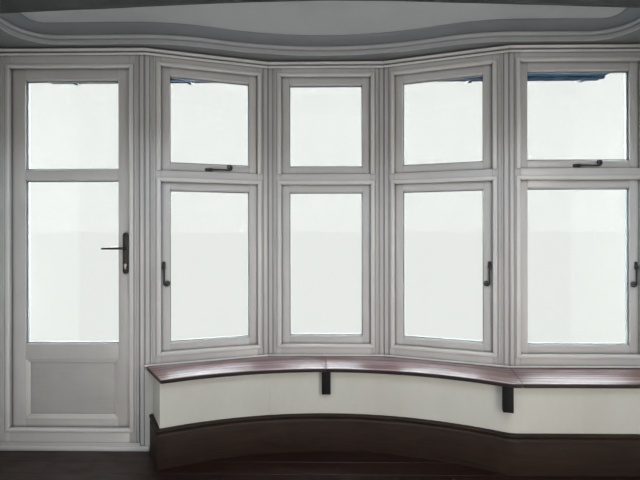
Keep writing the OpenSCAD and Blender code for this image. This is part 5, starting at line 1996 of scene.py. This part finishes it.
@dataclass
class Studio:
    """Plain soft light, a pale floor and the camera at the photograph's angle.

    The photograph's size and its horizon are in pixels, and its angles in degrees.
    """

    camera_at: tuple[float, float, float] = (0.001, -2.429, 1.303)
    turn: float = 0.785
    roll: float = -0.09
    lens: float = 25.3
    sensor: float = 36.0
    picture: tuple[float, float] = (640.0, 480.0)
    horizon: float = 232.1
    ambient: float = 0.22
    side_light: float = 0.85
    side_fade: tuple[float, float] = (0.6, 0.9)
    polish_sky: float = 60.0
    room_gloom: float = 0.15
    pale: Colour = tint(253, 252, 250)
    floor_fade: tuple[float, float] = (1.9, 2.7)

    def build(self) -> None:
        """Makes the stage, the world, the lamps and the camera."""
        self.floor()
        self.world()
        for lamp in LAMPS:
            lamp.hang()
        self.camera()

    def floor(self) -> None:
        """A wide pale floor under the part, which runs out into the surround a few steps away.

        Mirrored in a pane it is dim, as the shaded room is.
        """
        shape = bmesh.new()
        bmesh.ops.create_grid(shape, x_segments=2, y_segments=2, size=30.0)
        made = shown_as("stage_floor", shape)
        made.location.z = -0.0005
        stage = bpy.data.materials.new("stage_floor")
        stage.use_nodes = True
        web = SurfaceWeb(stage.node_tree)
        cloth = web.surface(Base_Color=(*tint(232, 231, 228), 1.0), Roughness=0.9)
        away = web.out("ShaderNodeVectorMath", {0: web.here()}, port="Value", operation="LENGTH")
        share = web.times(web.spread(away, 0, 1, *self.floor_fade), self.looked_at(web))
        mirrored = web.above(web.out("ShaderNodeLightPath", port="Glossy Depth"), SOME)
        near = web.choose(mirrored, cloth, web.glow(self.pale, self.room_gloom))
        web.show(web.choose(share, near, web.glow(self.pale, 1.0)))
        made.data.materials.append(stage)
        made.visible_glossy = False

    def looked_at(self, web: Web) -> bpy.types.NodeSocket:
        """One where the camera looks, straight or through glass, and nought elsewhere.

        Args:
            web: the tree that uses it.
        Returns:
            The share, as a socket.
        """
        rays = web.make("ShaderNodeLightPath").outputs
        straight = web.calc("MAXIMUM", rays["Is Camera Ray"], rays["Is Transmission Ray"])
        return web.times(straight, web.calc("LESS_THAN", rays["Glossy Depth"], SOME))

    def world(self) -> None:
        """An even pale surround, with a brighter sky for what polish mirrors through the glass.

        It gives more light from the sides and from above, which reaches the outside of the part.
        """
        world = bpy.data.worlds.new("surround")
        bpy.context.scene.world = world
        world.use_nodes = True
        web = Web(world.node_tree)
        light, room, sky, shown = (
            web.out("ShaderNodeBackground", {"Color": (*colour, 1.0), "Strength": level})
            for colour, level in ((DAYLIGHT, self.ambient), (ROOM_LIGHT, self.room_gloom),
                                  (DAYLIGHT, self.polish_sky), (self.pale, 1.0)))
        rays = web.make("ShaderNodeLightPath").outputs
        way = web.split(web.out("ShaderNodeTexCoord", port="Generated"))
        reach = web.calc("MAXIMUM", web.calc("ABSOLUTE", way[0]), way[2])
        web.feed(light.node.inputs["Strength"], web.spread(reach, self.ambient, self.side_light, *self.side_fade))
        up_and_out = web.times(web.above(way[1], 0.0), web.above(way[2], 0.0))
        outdoors = web.times(web.above(rays["Transmission Depth"], SOME), up_and_out)
        lit = web.choose(web.above(rays["Glossy Depth"], SOME), light, web.choose(outdoors, room, sky))
        web.make("ShaderNodeOutputWorld", None, {"Surface": web.choose(self.looked_at(web), lit, shown)})

    def camera(self) -> None:
        """The camera, level and turned a little to the left, with the photograph's horizon."""
        data = bpy.data.cameras.new("camera")
        data.sensor_width, data.lens = self.sensor, self.lens
        data.shift_y = (self.horizon - self.picture[1] / 2) / self.picture[0]
        made = link("camera", data)
        made.location = self.camera_at
        level = Matrix.Rotation(math.radians(self.turn), 4, "Z") @ Matrix.Rotation(math.radians(90), 4, "X")
        made.rotation_euler = (level @ Matrix.Rotation(math.radians(self.roll), 4, "Z")).to_euler()
        data.clip_start, data.clip_end = 0.05, 100.0
        bpy.context.scene.camera = made


def main() -> None:
    """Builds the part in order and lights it."""
    logging.basicConfig(level=logging.INFO, format="%(name)s: %(message)s")
    bpy.context.scene.view_settings.view_transform = "Standard"
    for assembly in (Shell(), Cornice(), Roof(), TimberFrame(), Casements(), GardenDoor(), WindowBoard()):
        log.info("building %s", type(assembly).__name__)
        assembly.build()
    Studio().build()
    bpy.context.view_layer.update()


if __name__ == "__main__":
    main()
